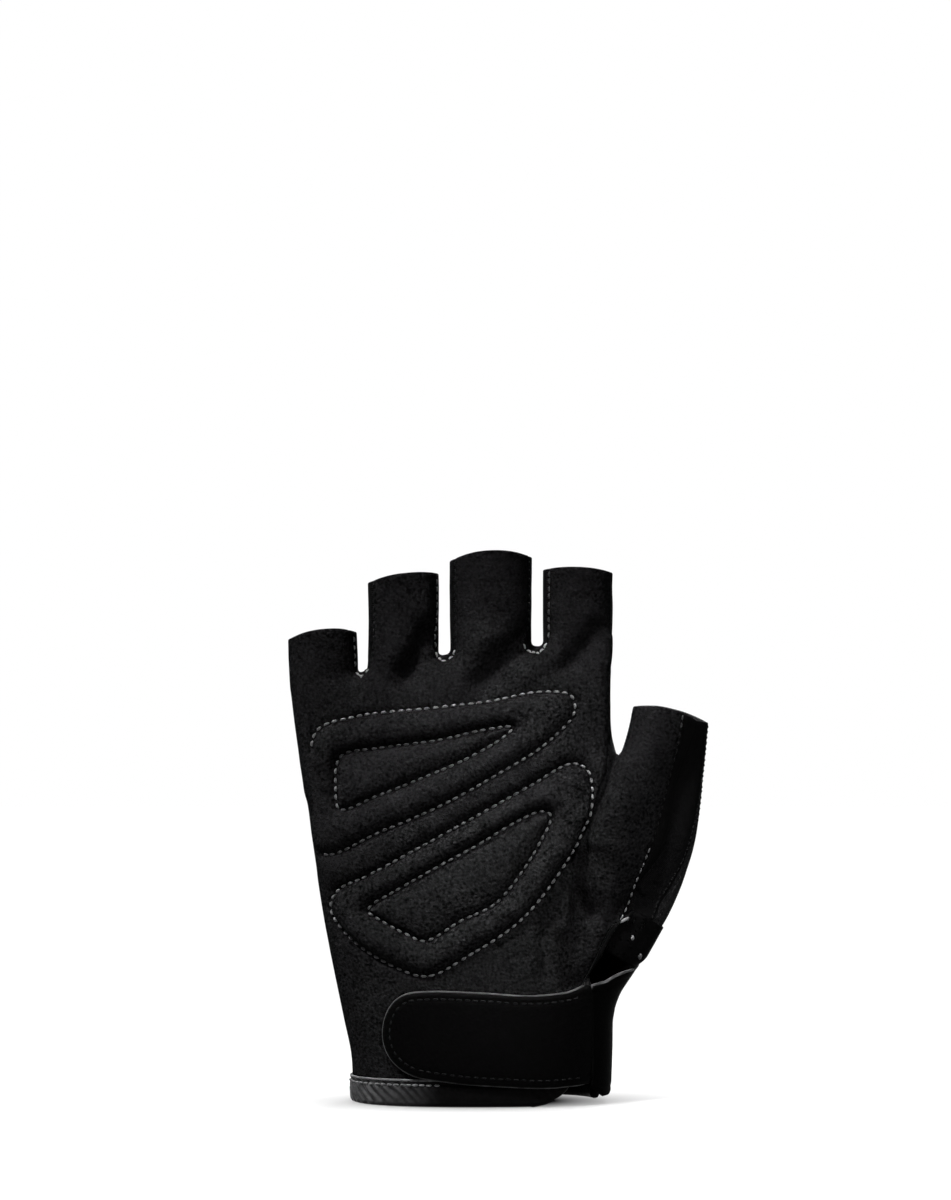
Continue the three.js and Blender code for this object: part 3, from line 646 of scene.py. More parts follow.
# Seams
upper_outer = spline(on_hand(UPPER_OUTER), 240, True)
upper_inner = spline(on_hand(UPPER_INNER), 200, True)
lower_outer = spline(on_hand(LOWER_OUTER), 260, True)
lower_inner = spline(on_hand(LOWER_INNER), 200, True)
vent_line = spline(on_hand(VENT_EDGE), 90)


def beside_thumb(share, side):
    """A point beside the thumb's line, as seen from the front."""
    rows = THUMB_SECTIONS
    i = min(max(1, int(np.searchsorted(rows[:, 1], share))), len(rows) - 1)
    low, high = rows[i - 1], rows[i]
    t = (share - low[1]) / (high[1] - low[1])
    angle = math.radians(low[2] + (high[2] - low[2]) * min(max(t, 0), 1))
    return (
        THUMB_ROOT[0] * KNUCKLE_WIDTH + (low[0] + (high[0] - low[0]) * t) * THUMB_LENGTH
        + side * THUMB_WIDTH * math.cos(angle),
        THUMB_ROOT[1] * PALM_LENGTH + share * THUMB_LENGTH - side * THUMB_WIDTH * math.sin(angle),
    )


thumb_seam = spline([beside_thumb(*row) for row in THUMB_SEAM], 90)[::-1]
hem_top = vent_line[-1, 1]
vent_top = hem_top - THUMB_HEM_HEIGHT
vent_back = VENT_BACK * PALM_DEPTH


STEEPEST = 12


def vent_side(p):
    """Distance past the vent's front edge, towards the thumb."""
    x, z = vent_line.T
    slope = np.gradient(x, z + np.arange(len(z)) * 1e-6)
    steep = np.sqrt(1 + np.clip(np.interp(p[:, 2], z, slope), -STEEPEST, STEEPEST) ** 2)
    return (p[:, 0] - np.interp(p[:, 2], z, x)) / steep


def side_seam(p):
    (x0, y0), (x1, y1) = SIDE_SEAM
    y = np.interp(p[:, 0], [x0 * KNUCKLE_WIDTH, x1 * KNUCKLE_WIDTH], [y0 * PALM_DEPTH, y1 * PALM_DEPTH])
    return p[:, 1] - y


def thumb_side(p):
    return p[:, 0] - np.interp(p[:, 2], thumb_seam[:, 1], thumb_seam[:, 0])


def nearest_finger(x):
    return np.searchsorted(np.array(crotches), x)


finger_half = np.array(finger_widths) / 2
finger_rims = np.array([crotch_height(centres[i]) + FINGERS[i][3] * FINGER_LENGTH for i in range(4)])


def past_finger_rim(p):
    i = nearest_finger(p[:, 0])
    t = np.clip((p[:, 0] - np.array(centres)[i]) / finger_half[i], -1, 1)
    turn = np.sign(t) * np.abs(t) ** (TUBE_SQUARENESS / 2)
    slant, crown = np.array([f[6] for f in FINGERS])[i], np.array([f[5] for f in FINGERS])[i]
    return p[:, 2] - finger_rims[i] - 2 * finger_half[i] * (slant * turn - crown * turn**2)


def past_thumb_rim(p):
    end, angle = thumb_line[-1], math.radians(THUMB_SECTIONS[-1, 2])
    dx, dz = p[:, 0] - end[0], p[:, 2] - end[1]
    along = dx * math.sin(angle) + dz * math.cos(angle)
    turn = (dx * math.cos(angle) - dz * math.sin(angle)) / (THUMB_WIDTH / 2)
    return along + THUMB_RIM_CROWN * THUMB_WIDTH * np.clip(np.abs(turn), 0, 1) ** TUBE_SQUARENESS


def strip_seam(index, shares):
    """Distance behind a finger strip's seam, which runs from the near finger round to the far one."""
    near_share, far_share = shares
    low, high = crotches[index] - FINGER_GAP, crotches[index] + FINGER_GAP

    def behind(p):
        t = smoothstep(p[:, 0], low, high)
        return p[:, 1] - FINGER_DEPTH * (near_share + (far_share - near_share) * t)
    return behind


def strip_front(index):
    return strip_seam(index, STRIP_FRONT)


def strip_back(index):
    return strip_seam(index, STRIP_BACK)


def by_strip(index, p, below):
    """Between two fingers' middles, and above the strip's lower end or a little below it."""
    low = crotch_height(crotches[index]) - STRIP_DROP - below
    return (p[:, 0] > centres[index]) & (p[:, 0] < centres[index + 1]) & (p[:, 2] > low)


def near_strip(index, below=2.0):
    def near(p):
        return by_strip(index, p, below) & (np.abs(p[:, 1]) < STRIP_REACH * FINGER_DEPTH)
    return near


def in_strip(index, p):
    return by_strip(index, p, 0.0) & (strip_front(index)(p) > 0) & (strip_back(index)(p) < 0)


def in_vent(p):
    return (vent_side(p) > 0) & (p[:, 2] < vent_top) & (p[:, 1] < vent_back)


def past(line):
    return lambda p: signed_distance(p[:, 0], p[:, 2], line)


def round_line(line, margin=3.0):
    low, high = line.min(0) - margin, line.max(0) + margin
    return lambda p: (
        (p[:, 1] < -2) & (p[:, 0] > low[0]) & (p[:, 0] < high[0]) & (p[:, 2] > low[1]) & (p[:, 2] < high[1])
    )


# The glove's half on the thumb's side, and the thumb's part of it, start here across.
THUMB_HALF, THUMB_END = 20.0, 38.0
# Regions of the cloth
PALM, BACK, THUMB_SIDE, STRIP, UPPER_PAD, LOWER_PAD, CUFF, VENT, THUMB_HEM = 0, 1, 2, 3, 6, 7, 8, 9, 10


def region_of(p):
    x, y, z = p.T
    r = np.where(side_seam(p) > 0, BACK, PALM)
    r[(r == PALM) & (thumb_side(p) > 0) & (z > hem_top)] = THUMB_SIDE
    for index in range(3):
        r[in_strip(index, p)] = STRIP + index
    front = (y < 0) & (r == PALM)
    r[front & inside(x, z, upper_outer)] = UPPER_PAD
    r[front & inside(x, z, lower_outer)] = LOWER_PAD
    beside = vent_side(p)
    r[(beside > -VENT_TAPE_WIDTH) & (beside <= 0) & (z < hem_top) & (y < 0)] = VENT
    r[(beside > 0) & (z < hem_top) & (z > vent_top) & (y < vent_back)] = THUMB_HEM
    r[z < HEM_HEIGHT] = CUFF
    return r


# Relief of the cloth
# The upper pad's stitching is open where it meets the edge of the hand.
OPEN_TOP = 0.823
open_top = np.argmax(upper_outer[:, 1] > OPEN_TOP * PALM_LENGTH)
upper_open = np.concatenate([upper_outer[open_top:], upper_outer[:1]])

# Folds of the palm side. Each line is in millimetres as seen from the front, with the fold's half width
# and its height, below 0 for a crease.
FOLDS = [
    (
        [(37.6, 104), (37.6, 99.9), (36.9, 94.6), (34.8, 87.9), (32.6, 81.9), (29.6, 74.4), (27.9, 68.5)],
        1.2, -3.0,
    ),
    ([(28.6, 72), (27.9, 66), (28.2, 61.7), (29.2, 55.5)], 1.5, -3.2),
    ([(24.7, 68.6), (21.0, 59.4), (18.4, 47.3), (19.3, 37.6)], 2.2, -1.6),
    ([(26.6, 66.0), (25.4, 59.0), (25.2, 51.0)], 1.9, 1.6),
    ([(42.0, 98.0), (41.0, 91.0), (38.5, 84.0), (35.5, 76.0)], 4.2, 3.0),
    ([(32.5, 70.0), (32.0, 63.0)], 2.2, 1.0),
    ([(-23.0, 131.3), (-28.8, 124.4), (-34.5, 116.3)], 4.4, 2.0),
    ([(-16.0, 134.5), (-19.0, 127.5), (-21.5, 123.0)], 3.0, -2.4),
    ([(2.3, 134.7), (-3.0, 127.8), (-7.0, 121.0)], 3.6, 1.8),
    ([(12.5, 133.0), (5.5, 126.0), (1.0, 121.5)], 3.6, -3.2),
    ([(20.0, 130.0), (14.0, 123.5)], 3.2, 1.5),
    ([(33.3, 135.5), (28.7, 129.5), (25.0, 125.5)], 3.2, -2.5),
    ([(36.5, 134.0), (35.2, 124.0), (34.8, 112.0), (34.8, 102.0), (33.5, 93.0), (30.0, 83.0)], 2.6, 1.9),
]
# Broad swells: centre across and up, half sizes, height
SWELLS = [
    ((27.0, 76.0), (13.0, 18.0), 1.1),
    ((-24.0, 96.0), (16.0, 12.0), 0.5),
    ((-30.0, 48.0), (12.0, 14.0), 0.6),
    ((-15.0, 146.0), (5.0, 14.0), 0.4),
]
# The thumb's outer half and the heel's thumb side fall away.
THUMB_FALL, HEEL_FALL = 7.5, 9.0
# Stretches, in millimetres up, in which the thumb's fall sets in and eases, and the distances inside its seam
THUMB_SETS_IN, THUMB_EASES, THUMB_INSIDE = (49, 58), (88, 112), (-2, 16)
# The share by which it eases, and the thumb's front: right of the first, below the second
THUMB_EASE = 0.65
THUMB_FRONT = (26, 125)
# Stretches across and up in which the heel's fall sets in, and the one in which it ends
HEEL_ACROSS, HEEL_SETS_IN, HEEL_ENDS = (17, 40), (30, 34), (44, 76)
# Slow unevenness of the cloth: sizes and heights, its share low on the cuff, and where it grows to the whole
WAVE_SIZE, WAVE, SMALL_WAVE_SIZE, SMALL_WAVE = 13.0, 0.22, 5.0, 0.1
CALM, CALM_ENDS = 0.3, (34, 50)
# How much a face turned to the front shows of the palm's relief, and where padding, folds and swells lie
TURN_TO_FRONT = (0.05, 0.55)
PADDING_SPAN, FOLDS_OVER, SWELLS_SET_IN = (34, 124), 30, (36, 46)
# Padding: heights of the ridges and of the cloth between the pads, and depth of the stitch lines
RIDGE, BETWEEN, CHANNEL = 2.9, 2.0, 0.5
BETWEEN_REACH, BETWEEN_FADE = 14, 5
# The pads' crowned middles: height, width of the rounding, power
UPPER_DOME, LOWER_DOME = (2.5, 5.5, 0.7), (2.75, 8.0, 0.65)
# The padding flattens at the hand's edge: by how much, and between which shares of the knuckle width
EDGE_FLATTER, EDGE_SPAN = 0.55, (0.44, 0.52)
# Half width of the flat bottom that a row of stitches lies in, and each stitch's dent: depth and size
FLAT = 0.4
PUCKER, PUCKER_SIZE = 0.32, 1.2
# Depths of the seams' grooves
STRIP_GROOVE, SIDE_GROOVE, THUMB_GROOVE = 0.35, 0.4, 0.4
PAD_LINES = [(upper_open, False), (upper_inner, True), (lower_outer, True), (lower_inner, True)]


def dome(distance, height, width, power):
    """A crowned middle, from the distance inside its line."""
    share = np.clip(np.maximum(distance - FLAT, 0) / width, 0, 1)
    return height * (1 - (1 - share) ** 2) ** power


BOLSTER_POWER = 0.85


def bolster(a, b):
    """A rounded ridge between two lines at distances a and b."""
    a, b = np.maximum(a - FLAT, 0), np.maximum(b - FLAT, 0)
    return (4 * a * b / np.maximum((a + b) ** 2, 1e-6)) ** BOLSTER_POWER


def looped(line):
    return np.concatenate([line, line[:1]])


def puckers(x, z, distances):
    """Dents where each stitch goes through the cloth."""
    h = np.zeros(x.shape)
    for (line, closed), d in zip(PAD_LINES, distances):
        near = np.flatnonzero(d < STITCH_PITCH)
        total = lengths(looped(line) if closed else line)[-1]
        step = total / round(total / STITCH_PITCH)
        turn = 2 * math.pi * polyline_place(x[near], z[near], line, closed) / step
        h[near] -= PUCKER * bell(d[near], PUCKER_SIZE) * (0.5 + 0.5 * np.cos(turn))
    return h


def quilting(x, z):
    """Height of the sewn padding over the bare form, lowest along the stitch lines."""
    du, dl = signed_distance(x, z, upper_outer), signed_distance(x, z, lower_outer)
    iu, il = signed_distance(x, z, upper_inner), signed_distance(x, z, lower_inner)
    distances = polyline_distance(x, z, upper_open), np.abs(iu), np.abs(dl), np.abs(il)
    gap = np.clip((BETWEEN_REACH - (du + dl)) / BETWEEN_FADE, 0, 1)
    height = BETWEEN * gap * bolster(np.maximum(du, 0), np.maximum(dl, 0))
    height = np.where(du < 0, RIDGE * bolster(distances[0], np.abs(iu)), height)
    height = np.where(dl < 0, RIDGE * bolster(np.abs(dl), np.abs(il)), height)
    height = np.where(iu < 0, dome(-iu, *UPPER_DOME), height)
    height = np.where(il < 0, dome(-il, *LOWER_DOME), height)
    height *= 1 - EDGE_FLATTER * smoothstep(-x, EDGE_SPAN[0] * KNUCKLE_WIDTH, EDGE_SPAN[1] * KNUCKLE_WIDTH)
    return height - CHANNEL * bell(np.minimum.reduce(distances), 1.0) + puckers(x, z, distances)


def relief(p, n):
    """How far the outer face stands off the bare form."""
    x, y, z = p.T
    h = WAVE * fade_noise(p, WAVE_SIZE, 1) + SMALL_WAVE * fade_noise(p, SMALL_WAVE_SIZE, 2)
    h *= CALM + (1 - CALM) * smoothstep(z, *CALM_ENDS)
    front = smoothstep(-n[:, 1], *TURN_TO_FRONT) * (y < 0)
    k = np.flatnonzero((front > 0) & (z > PADDING_SPAN[0]) & (z < PADDING_SPAN[1]))
    h[k] += quilting(x[k], z[k]) * front[k]
    k = np.flatnonzero((front > 0) & (z > FOLDS_OVER))
    for line, width, height in FOLDS:
        h[k] += height * bell(polyline_distance(x[k], z[k], np.array(line)), width) * front[k]
    for (cx, cz), (a, b), height in SWELLS:
        swell = bell(np.hypot((x[k] - cx) / a, (z[k] - cz) / b), 1)
        h[k] += height * swell * front[k] * smoothstep(z[k], *SWELLS_SET_IN)
    k = np.flatnonzero((front > 0) & (x > THUMB_FRONT[0]) & (z > THUMB_SETS_IN[0]) & (z < THUMB_FRONT[1]))
    body = smoothstep(z[k], *THUMB_SETS_IN) * (1 - THUMB_EASE * smoothstep(z[k], *THUMB_EASES))
    h[k] -= THUMB_FALL * (1 - smoothstep(-thumb_side(p[k]), *THUMB_INSIDE)) * body * front[k]
    heel = smoothstep(x, *HEEL_ACROSS) * smoothstep(z, *HEEL_SETS_IN) * (1 - smoothstep(z, *HEEL_ENDS))
    h -= HEEL_FALL * heel * front
    for index in range(3):
        k = np.flatnonzero(near_strip(index, 4.0)(p))
        d = np.minimum(np.abs(strip_front(index)(p[k])), np.abs(strip_back(index)(p[k])))
        h[k] -= STRIP_GROOVE * bell(d, 0.9)
    h -= SIDE_GROOVE * bell(side_seam(p), 0.9) * (z > HEM_HEIGHT)
    on_thumb = (x > THUMB_END) & (z > hem_top) & (side_seam(p) < 0.1)
    h -= np.where(on_thumb, THUMB_GROOVE * bell(thumb_side(p), 0.8), 0)
    return h


# Sheets and stitches
def edges_once(T):
    """Edges that only one triangle uses, in that triangle's direction."""
    e = edges_of(T)
    _, inverse, count = numbered(e)
    return e[count[inverse] == 1]


def compact(V, T):
    used, inverse = np.unique(T, return_inverse=True)
    return V[used], inverse.reshape(T.shape)


def subdivide(V, T):
    unique, inverse, _ = numbered(edges_of(T))
    new = on_form((V[unique[:, 0]] + V[unique[:, 1]]) / 2)
    ab, bc, ca = (len(V) + inverse).reshape(3, -1)
    a, b, c = T.T
    parts = [np.stack(row, 1) for row in ((a, ab, ca), (ab, b, bc), (ca, bc, c), (ab, bc, ca))]
    return np.concatenate([V, new]), np.concatenate(parts)


def unit(v):
    return v / np.maximum(np.linalg.norm(v, axis=-1, keepdims=True), 1e-9)


def sheet(base, normal, T, high, low, bulge, pull=0.0, arcs=4):
    """A closed sheet over base, from height low to high, with rounded edges."""
    n = len(base)
    high, low, bulge, pull = [np.broadcast_to(np.asarray(v, float), (n,)) for v in (high, low, bulge, pull)]
    E = edges_once(T)
    out = np.zeros_like(base)
    side = unit(np.cross(base[E[:, 1]] - base[E[:, 0]], normal[E[:, 0]]))
    np.add.at(out, E[:, 0], side)
    np.add.at(out, E[:, 1], side)
    out = unit(out)
    base = base - out * pull[:, None]
    rim = np.unique(E)
    number = np.zeros(n, int)
    number[rim] = np.arange(len(rim))
    middle, radius = (high + low) / 2, (high - low) / 2
    points, faces = [base + normal * high[:, None], base + normal * low[:, None]], [T, T[:, ::-1] + n]
    before = E
    for k in range(1, arcs + 1):
        if k < arcs:
            angle = math.pi * k / arcs
            level = middle[rim] + math.cos(angle) * radius[rim]
            points.append(
                base[rim] + normal[rim] * level[:, None] + out[rim] * (math.sin(angle) * bulge[rim])[:, None]
            )
            after = 2 * n + (k - 1) * len(rim) + number[E]
        else:
            after = E + n
        faces.append(np.stack([before[:, 1], before[:, 0], after[:, 0]], 1))
        faces.append(np.stack([before[:, 1], after[:, 0], after[:, 1]], 1))
        before = after
    return np.concatenate(points), np.concatenate(faces)


def tube(path, radii, sides=6):
    """A closed tube along a path of points, with a radius at each."""
    tangent = unit(np.gradient(path, axis=0))
    helper = np.where(np.abs(tangent[:, [1]]) < 0.9, np.array([[0.0, 1.0, 0.0]]), np.array([[1.0, 0.0, 0.0]]))
    u = unit(np.cross(tangent, helper))
    v = np.cross(tangent, u)
    angle = np.arange(sides) * 2 * math.pi / sides
    ring = np.cos(angle)[None, :, None] * u[:, None] + np.sin(angle)[None, :, None] * v[:, None]
    points = (path[:, None] + ring * np.asarray(radii)[:, None, None]).reshape(-1, 3)
    number = np.arange(len(points)).reshape(-1, sides)
    a, b = number[:-1], np.roll(number, -1, axis=1)[:-1]
    walls = np.stack([a, b, b + sides, a, b + sides, a + sides], -1).reshape(-1, 3)
    last = len(points) - sides
    ends = [face for j in range(1, sides - 1) for face in ((0, j + 1, j), (last, last + j, last + j + 1))]
    return points, np.concatenate([walls, ends])


def join(parts):
    points, faces, n = [], [], 0
    for V, T in parts:
        points.append(V)
        faces.append(T + n)
        n += len(V)
    return np.concatenate(points), np.concatenate(faces)


STITCH_RINGS = np.linspace(0, 1, 7)
STITCH_TAPER = np.array([0.45, 0.82, 0.97, 1.0, 0.97, 0.82, 0.45])
SLIP = 0.12


def stitches(path, normal, pitch=STITCH_PITCH, length=STITCH_LENGTH, thread=THREAD, lift=0.28, sink=0.45):
    """A row of stitches along a path that lies on the cloth."""
    along = lengths(path)
    count = max(1, int(round(along[-1] / pitch)))
    step = along[-1] / count
    parts = []
    for i in range(count):
        slip = SLIP * RNG.standard_normal(2)
        start = (i + 0.5) * step - length / 2 + slip[0]
        at = start + STITCH_RINGS * length * (1 + 0.4 * slip[1])
        p, n = at_lengths(path, along, at), unit(at_lengths(normal, along, at))
        height = lift - sink * (2 * STITCH_RINGS - 1) ** 4
        parts.append(tube(p + n * height[:, None], STITCH_TAPER * thread / 2))
    return join(parts)


def chains(E):
    """Orders loose edges into runs of vertices."""
    links = {}
    for a, b in E:
        links.setdefault(int(a), set()).add(int(b))
        links.setdefault(int(b), set()).add(int(a))
    runs = []
    ends = [v for v in links if len(links[v]) == 1] + list(links)
    for first in ends:
        if not links.get(first):
            continue
        run, here = [first], first
        while links[here]:
            there = min(links[here])
            links[here].discard(there)
            links[there].discard(here)
            run.append(there)
            here = there
        runs.append(run)
    return runs


PATH_STEP = 0.8


def smoothed(p, rounds):
    closed = np.linalg.norm(p[0] - p[-1]) < 1e-6
    for _ in range(rounds):
        q = p.copy()
        q[1:-1] = 0.25 * p[:-2] + 0.5 * p[1:-1] + 0.25 * p[2:]
        if closed:
            q[0] = q[-1] = 0.25 * p[-2] + 0.5 * p[0] + 0.25 * p[1]
        p = q
    return p


def resampled(p, spacing=PATH_STEP):
    along = lengths(p)
    return at_lengths(p, along, np.linspace(0, along[-1], max(3, int(along[-1] / spacing))))


def beside(p, distance):
    """A path moved sideways in the form's face, to the left of its direction when above 0."""
    _, n = settle(p, 0)
    side = unit(np.cross(n, np.gradient(p, axis=0)))
    return p + side * distance


def seam_paths(one, others, shortest=8.0):
    """Smooth runs along the border between two sets of regions, with the first set on the left."""
    E = edges_once(cloth_T[np.isin(region, one)])
    F = {tuple(e) for e in np.sort(edges_once(cloth_T[np.isin(region, others)]), axis=1).tolist()}
    shared = [e for e in E.tolist() if tuple(sorted(e)) in F]
    directed = {tuple(e) for e in shared}
    paths = []
    for run in chains(shared):
        if (run[0], run[1]) not in directed:
            run = run[::-1]
        p = resampled(smoothed(cloth_V[run], 8))
        if len(p) * PATH_STEP > shortest:
            paths.append(p)
    return paths


# Objects
def add_mesh(name, V, T, material, edge=None, edge_faces=None):
    mesh = bpy.data.meshes.new(name)
    mesh.vertices.add(len(V))
    mesh.vertices.foreach_set("co", (V * MM).astype(np.float32).ravel())
    mesh.loops.add(3 * len(T))
    mesh.loops.foreach_set("vertex_index", T.astype(np.int32).ravel())
    mesh.polygons.add(len(T))
    mesh.polygons.foreach_set("loop_start", np.arange(0, 3 * len(T), 3, dtype=np.int32))
    mesh.polygons.foreach_set("use_smooth", np.ones(len(T), bool))
    mesh.update(calc_edges=True)
    mesh.materials.append(material)
    if edge:
        mesh.materials.append(edge)
        mesh.polygons.foreach_set("material_index", edge_faces.astype(np.int32))
    piece = bpy.data.objects.new(name, mesh)
    bpy.context.scene.collection.objects.link(piece)
    return piece


def add_piece(name, V, T, material, slot, *nodes, **edge):
    piece = add_mesh(name, V, T, material, **edge)
    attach(piece, "root")
    if nodes:
        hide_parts(*nodes)
    return piece


# Materials
# The little finger's side of the hem tape is painted lighter, a painted sheen where its gathers catch the
# light.
SHEEN_FROM, SHEEN_TO = -30.0, -12.0
# The part of a noise texture's values that is used
NOISE_SPAN = (0.3, 0.7)


def new_node(tree, kind, values={}, links={}, **settings):
    """A shader node with its settings, and with values and links by input."""
    node = tree.nodes.new("ShaderNode" + kind)
    for key, value in settings.items():
        setattr(node, key, value)
    for key, value in values.items():
        node.inputs[key].default_value = value
    for key, output in links.items():
        tree.links.new(output, node.inputs[key])
    return node


def map_range(tree, value, *span):
    """A value mapped from the first two numbers of span to the last two."""
    return new_node(tree, "MapRange", dict(enumerate(span, 1)), {0: value}).outputs[0]


def material(
    name, colour, roughness, specular=0.5, grain=0.0, grain_scale=1400.0, mottle=0.0, mottle_scale=60.0,
    bump=0.0, bump_scale=900.0, weave=0.0, weave_scale=1200.0, painted_sheen=0.0,
):
    """A cloth's look. Grain and mottle change its shade, and a painted sheen can lighten it towards the
    little finger's side; bump and weave stand out, in millimetres.
    """
    made = bpy.data.materials.new(name)
    made.use_nodes = True
    tree = made.node_tree
    shader = tree.nodes["Principled BSDF"]
    shader.inputs["Base Color"].default_value = (*colour, 1)
    shader.inputs["Roughness"].default_value = roughness
    shader.inputs["Specular IOR Level"].default_value = specular
    place = new_node(tree, "TexCoord").outputs["Object"]

    def noise(scale, detail=2.0):
        node = new_node(tree, "TexNoise", {"Scale": scale, "Detail": detail}, {"Vector": place})
        return node.outputs["Fac"]

    def bumped(height, depth, under):
        links = {"Height": height, "Normal": under} if under else {"Height": height}
        return new_node(tree, "Bump", {"Strength": 1.0, "Distance": depth * MM}, links).outputs[0]

    factors = [
        map_range(tree, noise(scale), *NOISE_SPAN, 1 - strength, 1 + strength)
        for strength, scale in ((grain, grain_scale), (mottle, mottle_scale)) if strength
    ]
    # Painted sheen: the shade grows lighter towards the little finger's side.
    if painted_sheen:
        across = new_node(tree, "SeparateXYZ", links={0: place}).outputs["X"]
        factors.append(map_range(tree, across, SHEEN_FROM * MM, SHEEN_TO * MM, painted_sheen, 1))
    if factors:
        factor = factors[0]
        for other in factors[1:]:
            factor = new_node(tree, "Math", links={0: factor, 1: other}, operation="MULTIPLY").outputs[0]
        tint = new_node(tree, "VectorMath", {0: colour}, {"Scale": factor}, operation="SCALE")
        tree.links.new(tint.outputs[0], shader.inputs["Base Color"])
    normal = None
    if bump:
        normal = bumped(noise(bump_scale, 3.0), bump, normal)
    if weave:
        wave = new_node(
            tree, "TexWave", {"Scale": weave_scale, "Distortion": 1.5}, {"Vector": place},
            wave_type="BANDS", bands_direction="DIAGONAL",
        )
        normal = bumped(wave.outputs["Fac"], weave, normal)
    if normal:
        tree.links.new(normal, shader.inputs["Normal"])
    return made


def grey(value):
    return (value, value, value * 1.03)


suede = material(
    "suede", grey(0.0024), 0.95, grain=0.95, grain_scale=1250, bump=0.7, bump_scale=1150,
    mottle=0.16, mottle_scale=160, specular=0.0,
)
pad_suede = material(
    "pad_suede", grey(0.0029), 0.95, grain=0.97, grain_scale=1150, bump=0.9, bump_scale=1050,
    mottle=0.2, mottle_scale=200, specular=0.0,
)
stretch = material(
    "stretch", grey(0.001), 0.8, grain=0.4, grain_scale=1500, bump=0.1, weave=0.12, specular=0.01,
)
# The back panel's stretch is a lighter copy of the stretch, painted light for the back, which the lamps
# barely reach.
lit_back_stretch = material(
    "lit_back_stretch", grey(0.004), 0.8, grain=0.4, grain_scale=1500, bump=0.1, weave=0.12, specular=0.02,
)
# The hem tape's painted sheen makes it up to 26 times lighter on the little finger's side.
tape = material(
    "tape", grey(0.0005), 0.4, grain=0.5, grain_scale=700, bump=0.12, bump_scale=700, specular=0.02, painted_sheen=26,
)
vent_skin = material("vent_tape", grey(0.0009), 0.35, grain=0.3, bump=0.1, bump_scale=700, specular=0.025)
plain_tape = material("plain_tape", grey(0.0005), 0.5, grain=0.3, bump=0.1, bump_scale=700, specular=0.006)
strap_skin = material("strap", grey(0.00025), 0.5, bump=0.12, bump_scale=1500, grain=0.7, specular=0.009)
band_skin = material("band", grey(0.0003), 0.6, bump=0.1, bump_scale=1500, grain=0.5, specular=0.003)
# The edges' look is a painted highlight: a lighter copy of the strap's dark skin, put on the rounded edges of
# strap and band.
strap_edge_highlight = material("strap_edge_highlight", grey(0.013), 0.5, grain=0.8, grain_scale=420, specular=0.05)
# One thread in painted shades: light is the thread's own shade, the brighter copy is a painted highlight for
# rows in the shaded crotches, and dim is painted shade.
THREADS = {
    kind: material(kind + "_thread", grey(shade), 0.6, grain=0.4, grain_scale=1500, specular=0.05)
    for kind, shade in (("light", 0.042), ("highlit", 0.085), ("dim", 0.013))
}
# The dark copy is the strap's own dark thread, and painted shade on finger and thumb rows that lie in shadow.
THREADS["dark"] = material("dark_thread", grey(0.0024), 0.6, grain=0.3, grain_scale=2500, specular=0.02)

# The cloth as one surface, cut along every seam
cloth_V, cloth_T = surface_net(STEP)
cloth_V, _ = settle(cloth_V, 3)
cloth_V = relax(cloth_V, cloth_T, 3)
corners = cloth_V[cloth_T]
facing = np.cross(corners[:, 1] - corners[:, 0], corners[:, 2] - corners[:, 0])
if (facing * gradient_at(corners.mean(1))).sum() < 0:
    cloth_T = cloth_T[:, ::-1]
EDGE = 0.01
LEVEL_REACH = 3.0
FINGER_RIMS_OVER = 128.0
THUMB_RIM_OVER = (40.7, 103.0)


def near_level(p, level):
    return np.abs(p[:, 2] - level) < LEVEL_REACH


def under_hem(p):
    return p[:, 2] < hem_top + EDGE


def on_thumb_front(p):
    return (p[:, 2] > hem_top - EDGE) & (p[:, 0] > THUMB_END) & (p[:, 1] < 3)


# Each cut: its line, the stretch of cloth that it is made in, and whether the cloth past it is dropped
CUTS = [
    (lambda p: HEM_ROUND - p[:, 2], lambda p: p[:, 2] < 5 * HEM_ROUND, True),
    (past_finger_rim, lambda p: p[:, 2] > FINGER_RIMS_OVER, True),
    (past_thumb_rim, lambda p: (p[:, 0] > THUMB_RIM_OVER[0]) & (p[:, 2] > THUMB_RIM_OVER[1]), True),
    (lambda p: p[:, 2] - HEM_HEIGHT, lambda p: near_level(p, HEM_HEIGHT), False),
    (
        lambda p: p[:, 2] - hem_top,
        lambda p: (p[:, 0] > THUMB_HALF) & (p[:, 1] < vent_back + 2) & near_level(p, hem_top), False,
    ),
    (vent_side, lambda p: (p[:, 1] < 0) & under_hem(p), False),
    (
        lambda p: vent_side(p) + VENT_TAPE_WIDTH,
        lambda p: (p[:, 1] < 0) & under_hem(p) & (p[:, 2] > HEM_HEIGHT - EDGE), False,
    ),
    (lambda p: p[:, 1] - vent_back, lambda p: (p[:, 0] > THUMB_HALF) & under_hem(p), False),
    (
        lambda p: p[:, 2] - vent_top,
        lambda p: (vent_side(p) > -EDGE) & (p[:, 1] < vent_back + EDGE) & near_level(p, vent_top), False,
    ),
    (
        side_seam,
        lambda p: (p[:, 2] > HEM_HEIGHT - EDGE) & ((p[:, 0] < THUMB_HALF) | (p[:, 2] > hem_top - EDGE)),
        False,
    ),
    (thumb_side, on_thumb_front, False),
    (past(upper_outer), round_line(upper_outer), False),
    (past(lower_outer), round_line(lower_outer), False),
]
for index in range(3):
    CUTS.append((strip_front(index), near_strip(index), False))
    CUTS.append((strip_back(index), near_strip(index), False))
for value, near, drop in CUTS:
    cloth_V, cloth_T = cut(cloth_V, cloth_T, value, near, drop)
centre = cloth_V[cloth_T].mean(1)
cloth_T = cloth_T[~in_vent(centre)]
region = region_of(cloth_V[cloth_T].mean(1))
open_edge = np.zeros(len(cloth_V), bool)
open_edge[edges_once(cloth_T)] = True


